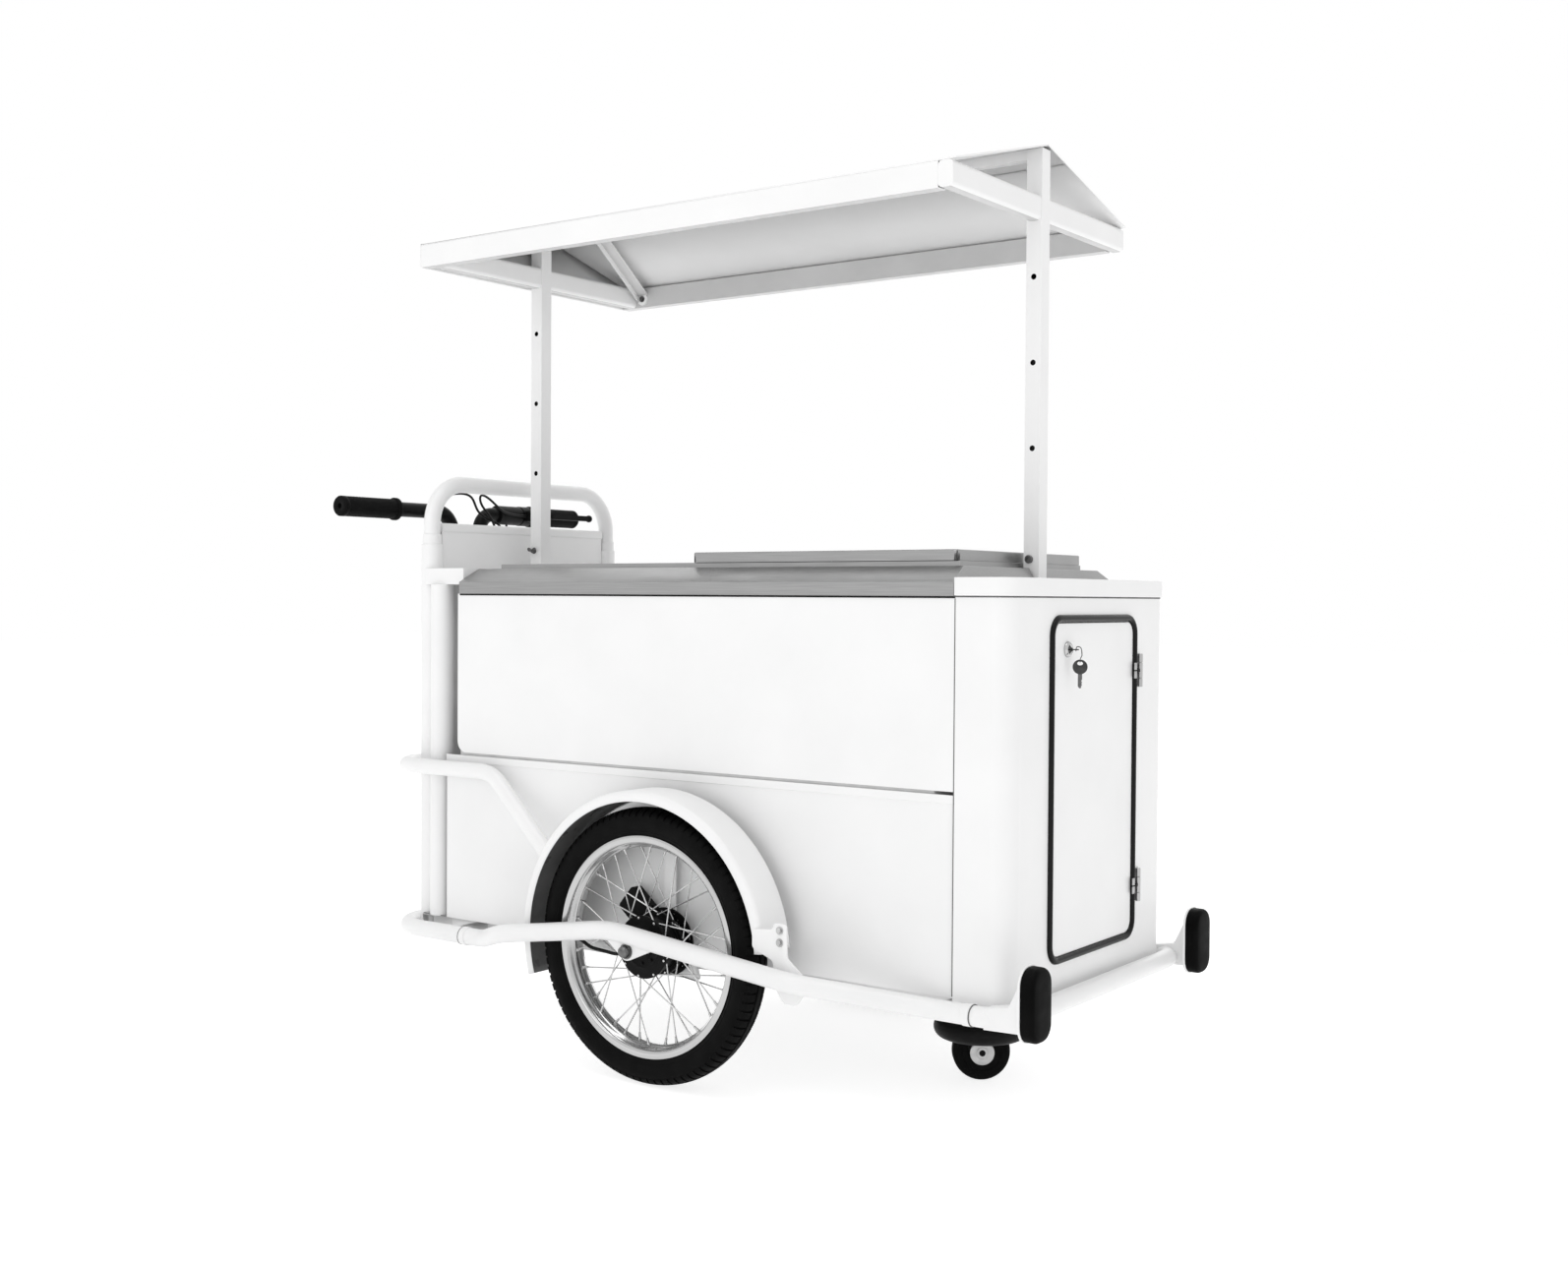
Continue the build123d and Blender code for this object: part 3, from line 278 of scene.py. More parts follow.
# Dark gasket and sealant for the joints between the sheets, also darkened to paint the shadow line along
# each joint.
GASKET_AND_SHADE_LINE = moulded("joint_gasket_and_shade_line", 0.006, 0.012, (0.5, 0.7), 0.06, 900.0, 0.00003)
SEALANT_AND_SHADE_LINE = moulded("joint_sealant_and_shade_line", 0.1, 0.16, (0.5, 0.7), 0.1, 900.0, 0.00003)
# A darker grey for the inner face of the fenders.
FENDER_INNER_DARK = moulded("fender_inner_dark", 0.1, 0.19, (0.24, 0.4), 0.3, 300.0, 0.0002, 9.0)
CABLE = moulded("cable_sheath", 0.005, 0.009, (0.36, 0.48), 0.12)
# Near black inside the canopy posts' bores: painted shade.
BORE_PAINTED_SHADE = moulded("bore_painted_shade", 0.004, 0.008, (0.6, 0.8), 0.05)
FOAM = moulded("insulating_foam", 0.6, 0.72, (0.8, 0.9), 0.3, 300.0, 0.0006)
STEEL = brushed("brushed_stainless", 0.31, 0.385, (0.3, 0.42), "X")
# Much paler than the worktop's steel, as painted light for the shaded inside of the tub.
LINER = brushed("liner_stainless", 0.62, 0.72, (0.34, 0.46), "X")
ALLOY = polished("polished_rim_alloy", 0.46, 0.53, (0.1, 0.17), 4.0)
SPOKE = polished("plated_spoke", 0.5, 0.6, (0.2, 0.3))
ZINC = polished("zinc_plate", 0.4, 0.52, (0.28, 0.42), 60.0)
CHROME = polished("lock_chrome", 0.46, 0.62, (0.06, 0.14))
KEY = polished("key_nickel", 0.05, 0.085, (0.3, 0.42), 50.0)
DARK_ZINC = polished("dark_zinc", 0.11, 0.19, (0.26, 0.4), 60.0)
HINGE = brushed("hinge_steel", 0.4, 0.5, (0.3, 0.42), "Z")
BATTERY = brushed("battery_case_alloy", 0.1, 0.14, (0.4, 0.5), "Z")


# Mesh tools
WELD = 1e-6
FLAT_ANGLE = 0.5
EDGE_ANGLE = 32


def only(kind, geometry):
    return [item for item in geometry if isinstance(item, kind)]


def everything(bm):
    return bm.verts[:] + bm.edges[:] + bm.faces[:]


def make(name, bm, like, material, stands_for=(), crease=35):
    """Finish a mesh as a piece that rides as the CAD node it is like, painted with the given material."""
    mesh = bpy.data.meshes.new(name)
    bm.normal_update()
    bm.to_mesh(mesh)
    bm.free()
    mesh.polygons.foreach_set("use_smooth", [True] * len(mesh.polygons))
    if crease:
        mesh.set_sharp_from_angle(angle=radians(crease))
    mesh.materials.append(material)
    piece = bpy.data.objects.new(name, mesh)
    bpy.context.scene.collection.objects.link(piece)
    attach(piece, body_of[like])
    if stands_for:
        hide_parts(*stands_for)
    return piece


def skin(node, bm, material, crease=35):
    """A mesh that takes the place of a CAD node."""
    return make(f"{node}_skin", bm, node, material, (node,), crease)


def dress(node, material, edge=0.8, segments=2, other=None, where=None):
    """A merged copy of a CAD node with softened edges, in millimetres, and another finish where asked."""
    bm = bmesh.new()
    bm.from_mesh(nodes[node].data)
    bmesh.ops.remove_doubles(bm, verts=bm.verts, dist=WELD)
    bmesh.ops.dissolve_limit(bm, angle_limit=radians(FLAT_ANGLE), verts=bm.verts, edges=bm.edges)
    if other:
        bm.normal_update()
        for face in bm.faces:
            face.material_index = int(where(face))
    piece = skin(node, bm, material, crease=0)
    if other:
        piece.data.materials.append(other)
    if edge:
        soft = piece.modifiers.new("Soft edges", "BEVEL")
        soft.width = edge * MM
        soft.segments = segments
        soft.limit_method = "ANGLE"
        soft.angle_limit = radians(EDGE_ANGLE)
    normals = piece.modifiers.new("Even faces", "WEIGHTED_NORMAL")
    normals.keep_sharp = True
    return piece


def outward(bm):
    bmesh.ops.remove_doubles(bm, verts=bm.verts, dist=WELD)
    bmesh.ops.recalc_face_normals(bm, faces=bm.faces)


def both_sides(bm):
    """Add the mirror image across the cart's middle."""
    copy = bmesh.ops.duplicate(bm, geom=everything(bm))["geom"]
    bmesh.ops.scale(bm, vec=(1, -1, 1), verts=only(bmesh.types.BMVert, copy))
    bmesh.ops.reverse_faces(bm, faces=only(bmesh.types.BMFace, copy))


def to_side(bm, side):
    """Mirror a mesh drawn on the -Y side if it belongs on the +Y side."""
    if side > 0:
        bmesh.ops.scale(bm, vec=(1, -1, 1), verts=bm.verts)
        bmesh.ops.reverse_faces(bm, faces=bm.faces)


def merge(bm, other):
    """Add another mesh to this one."""
    shared = bpy.data.meshes.new("shared")
    other.to_mesh(shared)
    other.free()
    bm.from_mesh(shared)
    bpy.data.meshes.remove(shared)


def soften(bm, edges, width, segments):
    """Round edges off, width in millimetres."""
    bmesh.ops.bevel(bm, geom=edges, offset=width * MM, offset_type="OFFSET", segments=segments, profile=0.5,
                    affect="EDGES", clamp_overlap=True, material=-1)


def swing(bm, geometry, centre, axis, angle, steps, close=False, repeat=False):
    """Turn geometry about an axis, as a sweep or as copies, and give the last of it."""
    return bmesh.ops.spin(bm, geom=geometry, cent=centre, axis=axis, dvec=(0, 0, 0), angle=angle,
                          steps=steps, use_merge=close, use_normal_flip=False,
                          use_duplicate=repeat)["geom_last"]


def drawn(bm, points, closed=False):
    """New verts at points and the edges between them."""
    verts = [bm.verts.new(point) for point in points]
    ends = verts[1:] + verts[:1] if closed else verts[1:]
    return verts, [bm.edges.new(pair) for pair in zip(verts, ends)]


def arc(centre, radius, start, end, steps):
    """Points of an arc in a plane, angles in degrees."""
    turns = [radians(start + (end - start) * step / steps) for step in range(steps + 1)]
    return [(centre[0] + radius * cos(turn), centre[1] + radius * sin(turn)) for turn in turns]


def mirrored(half):
    """A whole outline of (across, radius) pairs from its half on the positive side."""
    return [(-a, r) for a, r in reversed(half) if a] + half


def ring_at(bm, centre, direction, radius, sides):
    """The edges of a circle square to a direction."""
    turn = Vector(direction).to_track_quat("Z", "Y").to_matrix().to_4x4()
    made = bmesh.ops.create_circle(bm, cap_ends=False, radius=radius, segments=sides,
                                   matrix=Matrix.Translation(centre) @ turn)
    return list({edge for vert in made["verts"] for edge in vert.link_edges})


def push(bm, edges, shift):
    made = bmesh.ops.extrude_edge_only(bm, edges=edges)["geom"]
    bmesh.ops.translate(bm, vec=shift, verts=only(bmesh.types.BMVert, made))
    return only(bmesh.types.BMEdge, made)


def along(bm, edges, points, bends, steps=10):
    """Run a section along straight runs, with an arc of the given radius at each corner."""
    here = points[0]
    for corner, after, bend in zip(points[1:-1], points[2:], bends):
        ahead = (corner - here).normalized()
        leave = (after - corner).normalized()
        turn = ahead.angle(leave)
        reach = bend * tan(turn / 2)
        edges = push(bm, edges, corner - ahead * reach - here)
        axis = ahead.cross(leave).normalized()
        centre = corner - ahead * reach + axis.cross(ahead) * bend
        edges = only(bmesh.types.BMEdge, swing(bm, edges, centre, axis, turn, steps))
        here = corner + leave * reach
    return push(bm, edges, points[-1] - here)


def cap_ends(bm, *ends):
    for end in ends:
        bmesh.ops.contextual_create(bm, geom=end)


def tube(bm, points, bends, radius, sides=24, steps=10):
    """A capped round bar with bends."""
    first = ring_at(bm, points[0], points[1] - points[0], radius, sides)
    last = along(bm, first, points, bends, steps)
    cap_ends(bm, first, last)


def bent(bm, route, bends, radius, sides=28, steps=12):
    """A tube along a route, all in millimetres."""
    tube(bm, [at(*point) for point in route], [bend * MM for bend in bends], radius * MM, sides, steps)


def lathe(bm, outline, centre, axis, steps=64, closed=False):
    """Turn an outline of (along the axis, radius) pairs, in millimetres, about an axis."""
    axis = Vector(axis).normalized()
    out = axis.orthogonal().normalized()
    verts, edges = drawn(bm, [centre + axis * (a * MM) + out * (r * MM) for a, r in outline], closed)
    swing(bm, verts + edges, centre, axis, 2 * pi, steps, close=True)


def box(bm, low, high):
    """A box between two corners; gives its edges."""
    place = Matrix.Translation((low + high) / 2) @ Matrix.Diagonal((*(high - low), 1))
    verts = bmesh.ops.create_cube(bm, size=1, matrix=place)["verts"]
    return list({item for vert in verts for item in vert.link_edges})


def slab(bm, low, high, edge=1.0, segments=2):
    """A box between two corners with softened edges, all in millimetres."""
    soften(bm, box(bm, at(*low), at(*high)), edge, segments)


def plate(bm, outline, depths, corner=0.0, edge=1.0):
    """Add a flat plate from an outline of (X, Z) points, between two depths along Y, in millimetres."""
    flat = bmesh.new()
    face = flat.faces.new([flat.verts.new(at(x, depths[0], z)) for x, z in outline])
    made = bmesh.ops.extrude_face_region(flat, geom=[face])["geom"]
    bmesh.ops.translate(flat, vec=(0, (depths[1] - depths[0]) * MM, 0), verts=only(bmesh.types.BMVert, made))
    bmesh.ops.recalc_face_normals(flat, faces=flat.faces)
    if corner:
        walls = [item for item in flat.edges if abs(item.verts[0].co.y - item.verts[1].co.y) > WELD]
        soften(flat, walls, corner, 4)
    flat.normal_update()
    rims = list({item for face in flat.faces if abs(face.normal.y) > 0.9 for item in face.edges})
    soften(flat, rims, edge, 2)
    merge(bm, flat)


def front_face(bm):
    """The largest face that looks along +X."""
    bm.normal_update()
    return max((face for face in bm.faces if face.normal.x > 0.9), key=lambda face: face.calc_area())


SWELL_INSET = 6.0
SWELL_STEPS = (0.75, 0.25)


def pillow(bm, low, high, corner, edge, swell=0.0):
    """A block with rounded corners along X and a soft front, sizes in millimetres."""
    reach = (high.x - low.x) / 2
    lengthwise = [item for item in box(bm, low, high)
                  if abs(item.verts[0].co.x - item.verts[1].co.x) > reach]
    soften(bm, lengthwise, corner, 8)
    soften(bm, front_face(bm).edges[:], edge, 5)
    for share in SWELL_STEPS if swell else ():
        bmesh.ops.inset_region(bm, faces=[front_face(bm)], thickness=SWELL_INSET * MM, use_even_offset=True)
        bmesh.ops.translate(bm, vec=(swell * share * MM, 0, 0), verts=front_face(bm).verts)


def dome_bolt(bm, place, axis, radius, height):
    """A washer and a domed head, sizes in millimetres."""
    lathe(bm, [(0, 0), (0, radius * 1.35), (1.2, radius * 1.35), (1.4, radius * 1.25), (1.4, radius),
               (height * 0.6, radius * 0.94), (height * 0.9, radius * 0.6), (height, 0)], place, axis, 20)


def hex_bolt(bm, place, axis, radius, height):
    """A washer and a hexagon head with a worn rim, sizes in millimetres."""
    lathe(bm, [(0, 0), (0, radius * 1.5), (1.5, radius * 1.5), (1.5, 0)], place, axis, 24)
    head = [(1.5, 0), (1.5, radius), (height - 1, radius), (height, radius * 0.8), (height, 0)]
    lathe(bm, head, place, axis, 6)


# Road wheels
AXLE_Z = 265
TYRE_PITCHES = 92
TYRE_COLUMNS = 4
TYRE_WELD = 2e-5
GROOVE = 3.2
GROOVE_AIM = 1.0
GROOVE_COLUMNS = ((-1, 0), (1, 2))
TREAD_FROM = 11.0
TREAD_TO = 29.5
TREAD_LOW = 249.0
TYRE_HALF = [(0, 265), (5.2, 264.7), (6.2, 261.2), (8.8, 261.0), (9.8, 264.0), (15, 262.6), (20.5, 260.2),
             (25.2, 257.0), (28.4, 252.6), (29.4, 250.2), (29.0, 249.2), (30.6, 245.5), (31.7, 240),
             (31.6, 234), (30.4, 227.6), (28.2, 222), (28.6, 221.2), (27.8, 219.8), (25.2, 216.4),
             (22.6, 213.2), (22.0, 209), (21.8, 204.4)]


def wheel_centre(side):
    return middle("rim_right" if side < 0 else "rim_left")


def tyre(side):
    """One pitch of tread, cut with shoulder grooves, turned into a whole tyre."""
    centre = wheel_centre(-1)
    bm = bmesh.new()
    section = [centre + Vector((0, a * MM, r * MM)) for a, r in mirrored(TYRE_HALF)]
    verts, edges = drawn(bm, section, closed=True)
    pitch = 2 * pi / TYRE_PITCHES
    swing(bm, verts + edges, centre, LEFT, pitch, TYRE_COLUMNS)
    bmesh.ops.recalc_face_normals(bm, faces=bm.faces)
    for sign, column in GROOVE_COLUMNS:
        turn = pitch * (column + 0.5) / TYRE_COLUMNS
        radial = Vector((sin(turn), 0, cos(turn)))
        groove = []
        for face in bm.faces:
            spot = face.calc_center_median() - centre
            in_column = abs(spot.x * cos(turn) - spot.z * sin(turn)) < GROOVE_AIM * MM
            across = sign * spot.y / MM
            if in_column and TREAD_FROM < across < TREAD_TO and spot.length / MM > TREAD_LOW:
                groove.append(face)
        made = bmesh.ops.extrude_face_region(bm, geom=groove)["geom"]
        bmesh.ops.translate(bm, vec=radial * (-GROOVE * MM), verts=only(bmesh.types.BMVert, made))
        bmesh.ops.delete(bm, geom=[face for face in groove if face.is_valid], context="FACES_ONLY")
    swing(bm, everything(bm), centre, LEFT, pitch * (TYRE_PITCHES - 1), TYRE_PITCHES - 1, repeat=True)
    bmesh.ops.remove_doubles(bm, verts=bm.verts, dist=TYRE_WELD)
    to_side(bm, side)
    return bm


RIM_HALF = [(0, 188.6), (7.6, 188.8), (9.6, 189.6), (13.0, 192.4), (18.2, 195.6), (22.2, 197.8),
            (24.2, 199.8), (24.9, 202.6), (25.0, 210.4), (24.5, 212.0), (23.4, 212.5), (22.5, 212.0),
            (22.2, 210.6), (22.2, 204), (12, 204), (9, 196), (0, 196)]


def rim(side):
    bm = bmesh.new()
    outline = RIM_HALF + [(-a, r) for a, r in reversed(RIM_HALF[1:-1])]
    lathe(bm, outline, wheel_centre(side), LEFT, 128, closed=True)
    outward(bm)
    return bm


SPOKES = 36
SPOKE_LEAN = 50.0
SPOKE_R = 1.4
FLANGE = 22.5
FLANGE_STEP = 2.6
HUB_RIM = 56.0
RIM_SEAT = 191.5
SEAT_Y = 4
SEAT_STEP = 1.6
NIPPLE = [(-15, 1.4), (-14.5, 2.3), (-6, 2.5), (-5.5, 3.2), (-1, 3.4), (0, 1.4)]
SPOKE_HEAD = [(-3.2, 0), (-3.0, 2.2), (2.4, 2.6), (3.2, 1.8), (3.4, 0)]


def round_wheel(centre, radius, across, turn):
    """A point of a wheel by its radius and place across in millimetres, and its turn from the top."""
    return centre + Vector((radius * sin(turn), across, radius * cos(turn))) * MM


def spokes(side):
    """Crossed spokes with threaded nipples at the rim and heads at the flange."""
    centre = wheel_centre(-1)
    bm = bmesh.new()
    for number in range(SPOKES):
        hand = 1 if number % 2 else -1
        lean = 1 if number // 2 % 2 else -1
        turn = radians(360 * number / SPOKES)
        at_hub = turn + radians(lean * SPOKE_LEAN)
        start = round_wheel(centre, HUB_RIM, hand * (FLANGE + lean * FLANGE_STEP), at_hub)
        end = round_wheel(centre, RIM_SEAT, hand * (SEAT_Y + lean * SEAT_STEP), turn)
        tube(bm, [start, end], [], SPOKE_R * MM, 8)
        lathe(bm, NIPPLE, end, end - start, 8)
        lathe(bm, SPOKE_HEAD, start, (0, hand * lean, 0), 8)
    bmesh.ops.recalc_face_normals(bm, faces=bm.faces)
    to_side(bm, side)
    return bm


HUB_OUTER = [(-28.5, 0), (-28.5, 22), (-28.2, 23), (-27.4, 23.4), (-27.4, 37), (-28, 38.4), (-27.6, 39.8),
             (-26.5, 45.6), (-26.5, 59), (-25.6, 60), (-19.4, 60), (-18.5, 59), (-18.5, 53), (-17.6, 52),
             (-10, 52), (-9.2, 50.6), (-7.8, 50.6), (-7, 52), (7, 52), (7.8, 50.6), (9.2, 50.6), (10, 52),
             (17.6, 52), (18.5, 53), (18.5, 59), (19.4, 60), (25.6, 60), (26.5, 59), (26.5, 46), (28, 40),
             (28, 30), (42, 30), (42, 0)]
HUB_SCREWS = 8
HUB_SCREW_RING = (30, -27.4)
HUB_SCREW = [(0, 0), (0, 3.2), (2, 3.2), (2.6, 2.6), (2.6, 0)]
DISC_SECTORS = 72
DISC_Y = 43.5
DISC_T = 3.0
DISC_RADII = (30, 40, 48, 51, 54, 57, 60, 66)
# Slots of the disc: every how many sectors, first and last of these, inner and outer radius
DISC_SLOTS = ((6, 0, 0, 51, 54), (6, 3, 3, 57, 60), (9, 5, 8, 40, 48))


def in_slot(spot):
    """True where a face of the disc, by its place from the centre, lies in a slot."""
    flat = Vector((spot.x, spot.z))
    sector = int((Vector((0, 1)).angle_signed(flat) % (2 * pi)) / (2 * pi) * DISC_SECTORS)
    away = flat.length / MM
    return any(first <= sector % every <= last and inner < away < outer
               for every, first, last, inner, outer in DISC_SLOTS)


def hub(side):
    """Black hub shell with a slotted brake disc behind it."""
    centre = wheel_centre(-1)
    bm = bmesh.new()
    lathe(bm, HUB_OUTER, centre, LEFT, 72)
    for number in range(HUB_SCREWS):
        lathe(bm, HUB_SCREW, round_wheel(centre, *HUB_SCREW_RING, 2 * pi * number / HUB_SCREWS), RIGHT, 8)
    outward(bm)
    disc = bmesh.new()
    lathe(disc, [(DISC_Y, radius) for radius in DISC_RADII], centre, LEFT, DISC_SECTORS)
    slots = [face for face in disc.faces if in_slot(face.calc_center_median() - centre)]
    bmesh.ops.delete(disc, geom=slots, context="FACES")
    bmesh.ops.recalc_face_normals(disc, faces=disc.faces)
    bmesh.ops.solidify(disc, geom=disc.faces[:], thickness=DISC_T * MM)
    merge(bm, disc)
    to_side(bm, side)
    return bm


def wheels():
    for side, hand in ((-1, "right"), (1, "left")):
        for kind, build, material in (("tyre", tyre, TYRE), ("rim", rim, ALLOY), ("spokes", spokes, SPOKE),
                                      ("hub", hub, BLACK_METAL)):
            skin(f"{kind}_{hand}", build(side), material)


# Rails and bent bars
RAIL_R = 18.0
BAR_R = 16.5
SIDE_RAIL = [(-549, -350, 210), (-500, -350, 210), (-335, -465, 258), (-45, -465, 300), (374, -465, 254),
             (590, -350, 220), (670, -350, 220)]
SIDE_BENDS = [80, 150, 300, 150, 150]
REAR_X = -783
REAR_RAIL = [(-549, -350, 210), (REAR_X, -350, 210), (REAR_X, 350, 210), (-549, 350, 210)]
REAR_BENDS = [90, 90]
UPPER_BAR = [(-240, -388, 376), (-481, -345, 562), (REAR_X, -345, 562), (REAR_X, 345, 562), (-481, 345, 562),
             (-240, 388, 376)]
UPPER_BENDS = [100, 70, 70, 100]
SEAM_COLLAR = mirrored([(7.2, 19.4), (8, 18.8), (8, 17.6)])
STUB_Y = 280
STUB_R = 9.0
STUB_SINK = 4.0
FENDER_CUT = Vector((-0.896, 0, 0.444))
FENDER_CUT_R = 297.5


def trim_to_fender(bm):
    """Cut the bar's ends off flat against the fenders, and close them."""
    place = at(0, 0, AXLE_Z) + FENDER_CUT * (FENDER_CUT_R * MM)
    bmesh.ops.bisect_plane(bm, geom=everything(bm), plane_co=place, plane_no=FENDER_CUT, clear_inner=True)
    bmesh.ops.holes_fill(bm, edges=[edge for edge in bm.edges if edge.is_boundary])


def rails():
    bm = bmesh.new()
    bent(bm, SIDE_RAIL, SIDE_BENDS, RAIL_R)
    for place in (SIDE_RAIL[0], SIDE_RAIL[-1]):
        lathe(bm, SEAM_COLLAR, at(*place), FORWARD, 32)
    outward(bm)
    both_sides(bm)
    skin("side_rails", bm, WHITE)

    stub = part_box("handle_uprights")[0].x + STUB_SINK * MM
    for node, route, bends, radius, trim in (("rear_lower_rail", REAR_RAIL, REAR_BENDS, RAIL_R, False),
                                             ("upper_rear_bar", UPPER_BAR, UPPER_BENDS, BAR_R, True)):
        bm = bmesh.new()
        bent(bm, route, bends, radius)
        for hand in (-1, 1):
            near = at(REAR_X, hand * STUB_Y, route[2][2])
            tube(bm, [near, Vector((stub, near.y, near.z))], [], STUB_R * MM, 20)
        outward(bm)
        if trim:
            trim_to_fender(bm)
        skin(node, bm, WHITE)


# Front bar and bumpers
FRONT_BAR = [(670, -350, 220), (750, -350, 220), (750, 350, 220), (670, 350, 220)]
FRONT_BENDS = [60, 60]
PAD_Y = 345.0
PAD_Z = 254.0
PAD_W = 72.0
PAD_H = 126.0
PAD_CORNER = 30.0
PAD_EDGE = 9.0
PAD_FRONT = 810.0
PAD_T = 26.0
PAD_SWELL = 1.0
PLATE_T = 4.0
PLATE_LIP = 2.0
PLATE_BACK = PAD_FRONT - PAD_T - PLATE_T
BRACKET_HALF = 18.0
BRACKET_SIDE = [(PLATE_BACK + 1, PAD_Z - 50), (PLATE_BACK + 1, PAD_Z + 52), (752, 246), (705, 238),
                (705, 202)]


def pad_box(x0, x1, grow):
    """Corners of a box behind the right bumper's outline."""
    return (at(x0, -PAD_Y - PAD_W / 2 - grow, PAD_Z - PAD_H / 2 - grow),
            at(x1, -PAD_Y + PAD_W / 2 + grow, PAD_Z + PAD_H / 2 + grow))


def front_bar():
    bm = bmesh.new()
    bent(bm, FRONT_BAR, FRONT_BENDS, RAIL_R)
    outward(bm)
    plates = bmesh.new()
    plate(plates, BRACKET_SIDE, (-PAD_Y - BRACKET_HALF, -PAD_Y + BRACKET_HALF), 0, 1.5)
    pillow(plates, *pad_box(PLATE_BACK, PLATE_BACK + PLATE_T, PLATE_LIP), PAD_CORNER + PLATE_LIP, 0.8)
    both_sides(plates)
    merge(bm, plates)
    skin("front_bar", bm, WHITE)


def bumpers():
    """Rubber pads with swollen faces and soft edges."""
    bm = bmesh.new()
    pillow(bm, *pad_box(PAD_FRONT - PAD_T, PAD_FRONT - PAD_SWELL, 0), PAD_CORNER, PAD_EDGE, PAD_SWELL)
    both_sides(bm)
    skin("bumper_pads", bm, BUMPER, 60)


# Rear corner: posts, uprights, hoop, push bar
CORNER_POST_R = 25.0
UPRIGHT_R = 23.0
UPRIGHT_EDGE = 1.5
BUSH_R = 20.4
BUSH_H = 22.0
HOOP_BEND = 90


def pillar(node, radius, outline):
    """A turned pillar at each side, from an outline that is worked out from its height."""
    low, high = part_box(node)
    bm = bmesh.new()
    foot = Vector((low.x + radius * MM, low.y + radius * MM, low.z))
    lathe(bm, outline((high.z - low.z) / MM), foot, UP, 48)
    outward(bm)
    both_sides(bm)
    skin(node, bm, WHITE)


def post_outline(top):
    return [(0, 0), (0, CORNER_POST_R), (top, CORNER_POST_R), (top, 0)]


def upright_outline(top):
    """An upright with a narrower bush at its top."""
    seat = top - BUSH_H
    return [(0, 0), (0, UPRIGHT_R), (seat - UPRIGHT_EDGE, UPRIGHT_R), (seat, UPRIGHT_R - UPRIGHT_EDGE),
            (seat, BUSH_R), (top - 1.2, BUSH_R), (top, BUSH_R - 1), (top, 0)]


def rear_frame():
    pillar("corner_posts", CORNER_POST_R, post_outline)
    pillar("handle_uprights", UPRIGHT_R, upright_outline)
    bm = bmesh.new()
    leg = middle("guard_hoop").x
    low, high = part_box("guard_hoop")
    hoop_r = (high.x - low.x) / 2
    top = high.z - hoop_r
    side = high.y - hoop_r
    route = [Vector((leg, y, z)) for y, z in ((-side, low.z), (-side, top), (side, top), (side, low.z))]
    tube(bm, route, [HOOP_BEND * MM] * 2, hoop_r, 32, 16)
    outward(bm)
    skin("guard_hoop", bm, WHITE)


BAR_X = -924
BAR_TOP = 1130
MOUNT_Z = 1026
MOUNT_FACE = -745
ARM = [(BAR_X, -372, BAR_TOP), (BAR_X, -45, BAR_TOP), (BAR_X + 9, -45, MOUNT_Z), (MOUNT_FACE, -45, MOUNT_Z)]
ARM_BENDS = [45, 40]
ARM_R = 17
KNURLS_ROUND = 32
KNURLS_LONG = 32
KNURL = 1.1
GRIP_R = 22.0
GRIP_FROM = -366.0
GRIP_TO = -226.0
GRIP_CAP = [(GRIP_FROM, GRIP_R), (-367, 23), (-377, 23), (-379.4, 21.4), (-380, 19), (-380, 9.5),
            (-379.2, 8.4), (-379.2, 6.2), (-374, 6), (-374, 0)]
GRIP_COLLAR = [(GRIP_TO, GRIP_R), (-224.6, 24.6), (-223, 26), (-216.4, 26), (-215, 24.6), (-215, 17.1)]


def grip_mesh():
    """Knurled rubber grip with an end cap, a hole in it and an inner collar."""
    bm = bmesh.new()
    centre = at(BAR_X, 0, BAR_TOP)
    step = (GRIP_TO - GRIP_FROM) / KNURLS_LONG
    rings = [(GRIP_FROM + step * ring, GRIP_R) for ring in range(KNURLS_LONG + 1)]
    lathe(bm, rings, centre, LEFT, KNURLS_ROUND)
    outward(bm)
    bmesh.ops.poke(bm, faces=bm.faces[:], offset=KNURL * MM, center_mode="MEAN")
    for outline in (GRIP_CAP, GRIP_COLLAR):
        lathe(bm, outline, centre, LEFT, KNURLS_ROUND)
    outward(bm)
    return bm


def push_bar():
    bm = bmesh.new()
    bent(bm, ARM, ARM_BENDS, ARM_R)
    outward(bm)
    both_sides(bm)
    skin("handlebar", bm, BLACK_PAINT)
    for node, side in (("throttle_grip", -1), ("left_grip", 1)):
        bm = grip_mesh()
        to_side(bm, side)
        skin(node, bm, GRIP, 60)
    dress("handlebar_mount", BLACK_PAINT, 2.0, 3)
    dress("left_controls", BLACK_PLASTIC, 1.6, 3)
    dress("brake_lever", BLACK_METAL, 2.2, 3)


# Fenders: a rolled channel with curled lips
FENDER_FROM = 5.0
FENDER_SWEEP = 192.0
FENDER_STEPS = 72
FENDER_CROWN = 30.0
FENDER_SHEET = 2.5
FENDER_SECTION = mirrored(arc((35, 289), 10, 90, 0, 6) + [(44.6, 279.4), (43.6, 278.4)])


def fenders():
    bm = bmesh.new()
    centre = Vector((AXLE.x, middle("tyre_right").y, AXLE.z))
    start = radians(FENDER_FROM)
    section = [centre + Vector((r * cos(start), a, r * sin(start))) * MM for a, r in FENDER_SECTION]
    verts, edges = drawn(bm, section)
    swing(bm, verts + edges, centre, RIGHT, radians(FENDER_SWEEP), FENDER_STEPS)
    for face in bm.faces:
        spot = face.calc_center_median() - centre
        if face.normal.dot(spot) < 0 and abs(spot.y) < FENDER_CROWN * MM:
            bmesh.ops.reverse_faces(bm, faces=bm.faces)
            break
    both_sides(bm)
    piece = skin("fenders", bm, WHITE, 50)
    wall = piece.modifiers.new("Sheet", "SOLIDIFY")
    wall.thickness = FENDER_SHEET * MM
    wall.offset = -1
    # The inner face of the sheet takes the darker grey.
    wall.material_offset = 1
    piece.data.materials.append(FENDER_INNER_DARK)


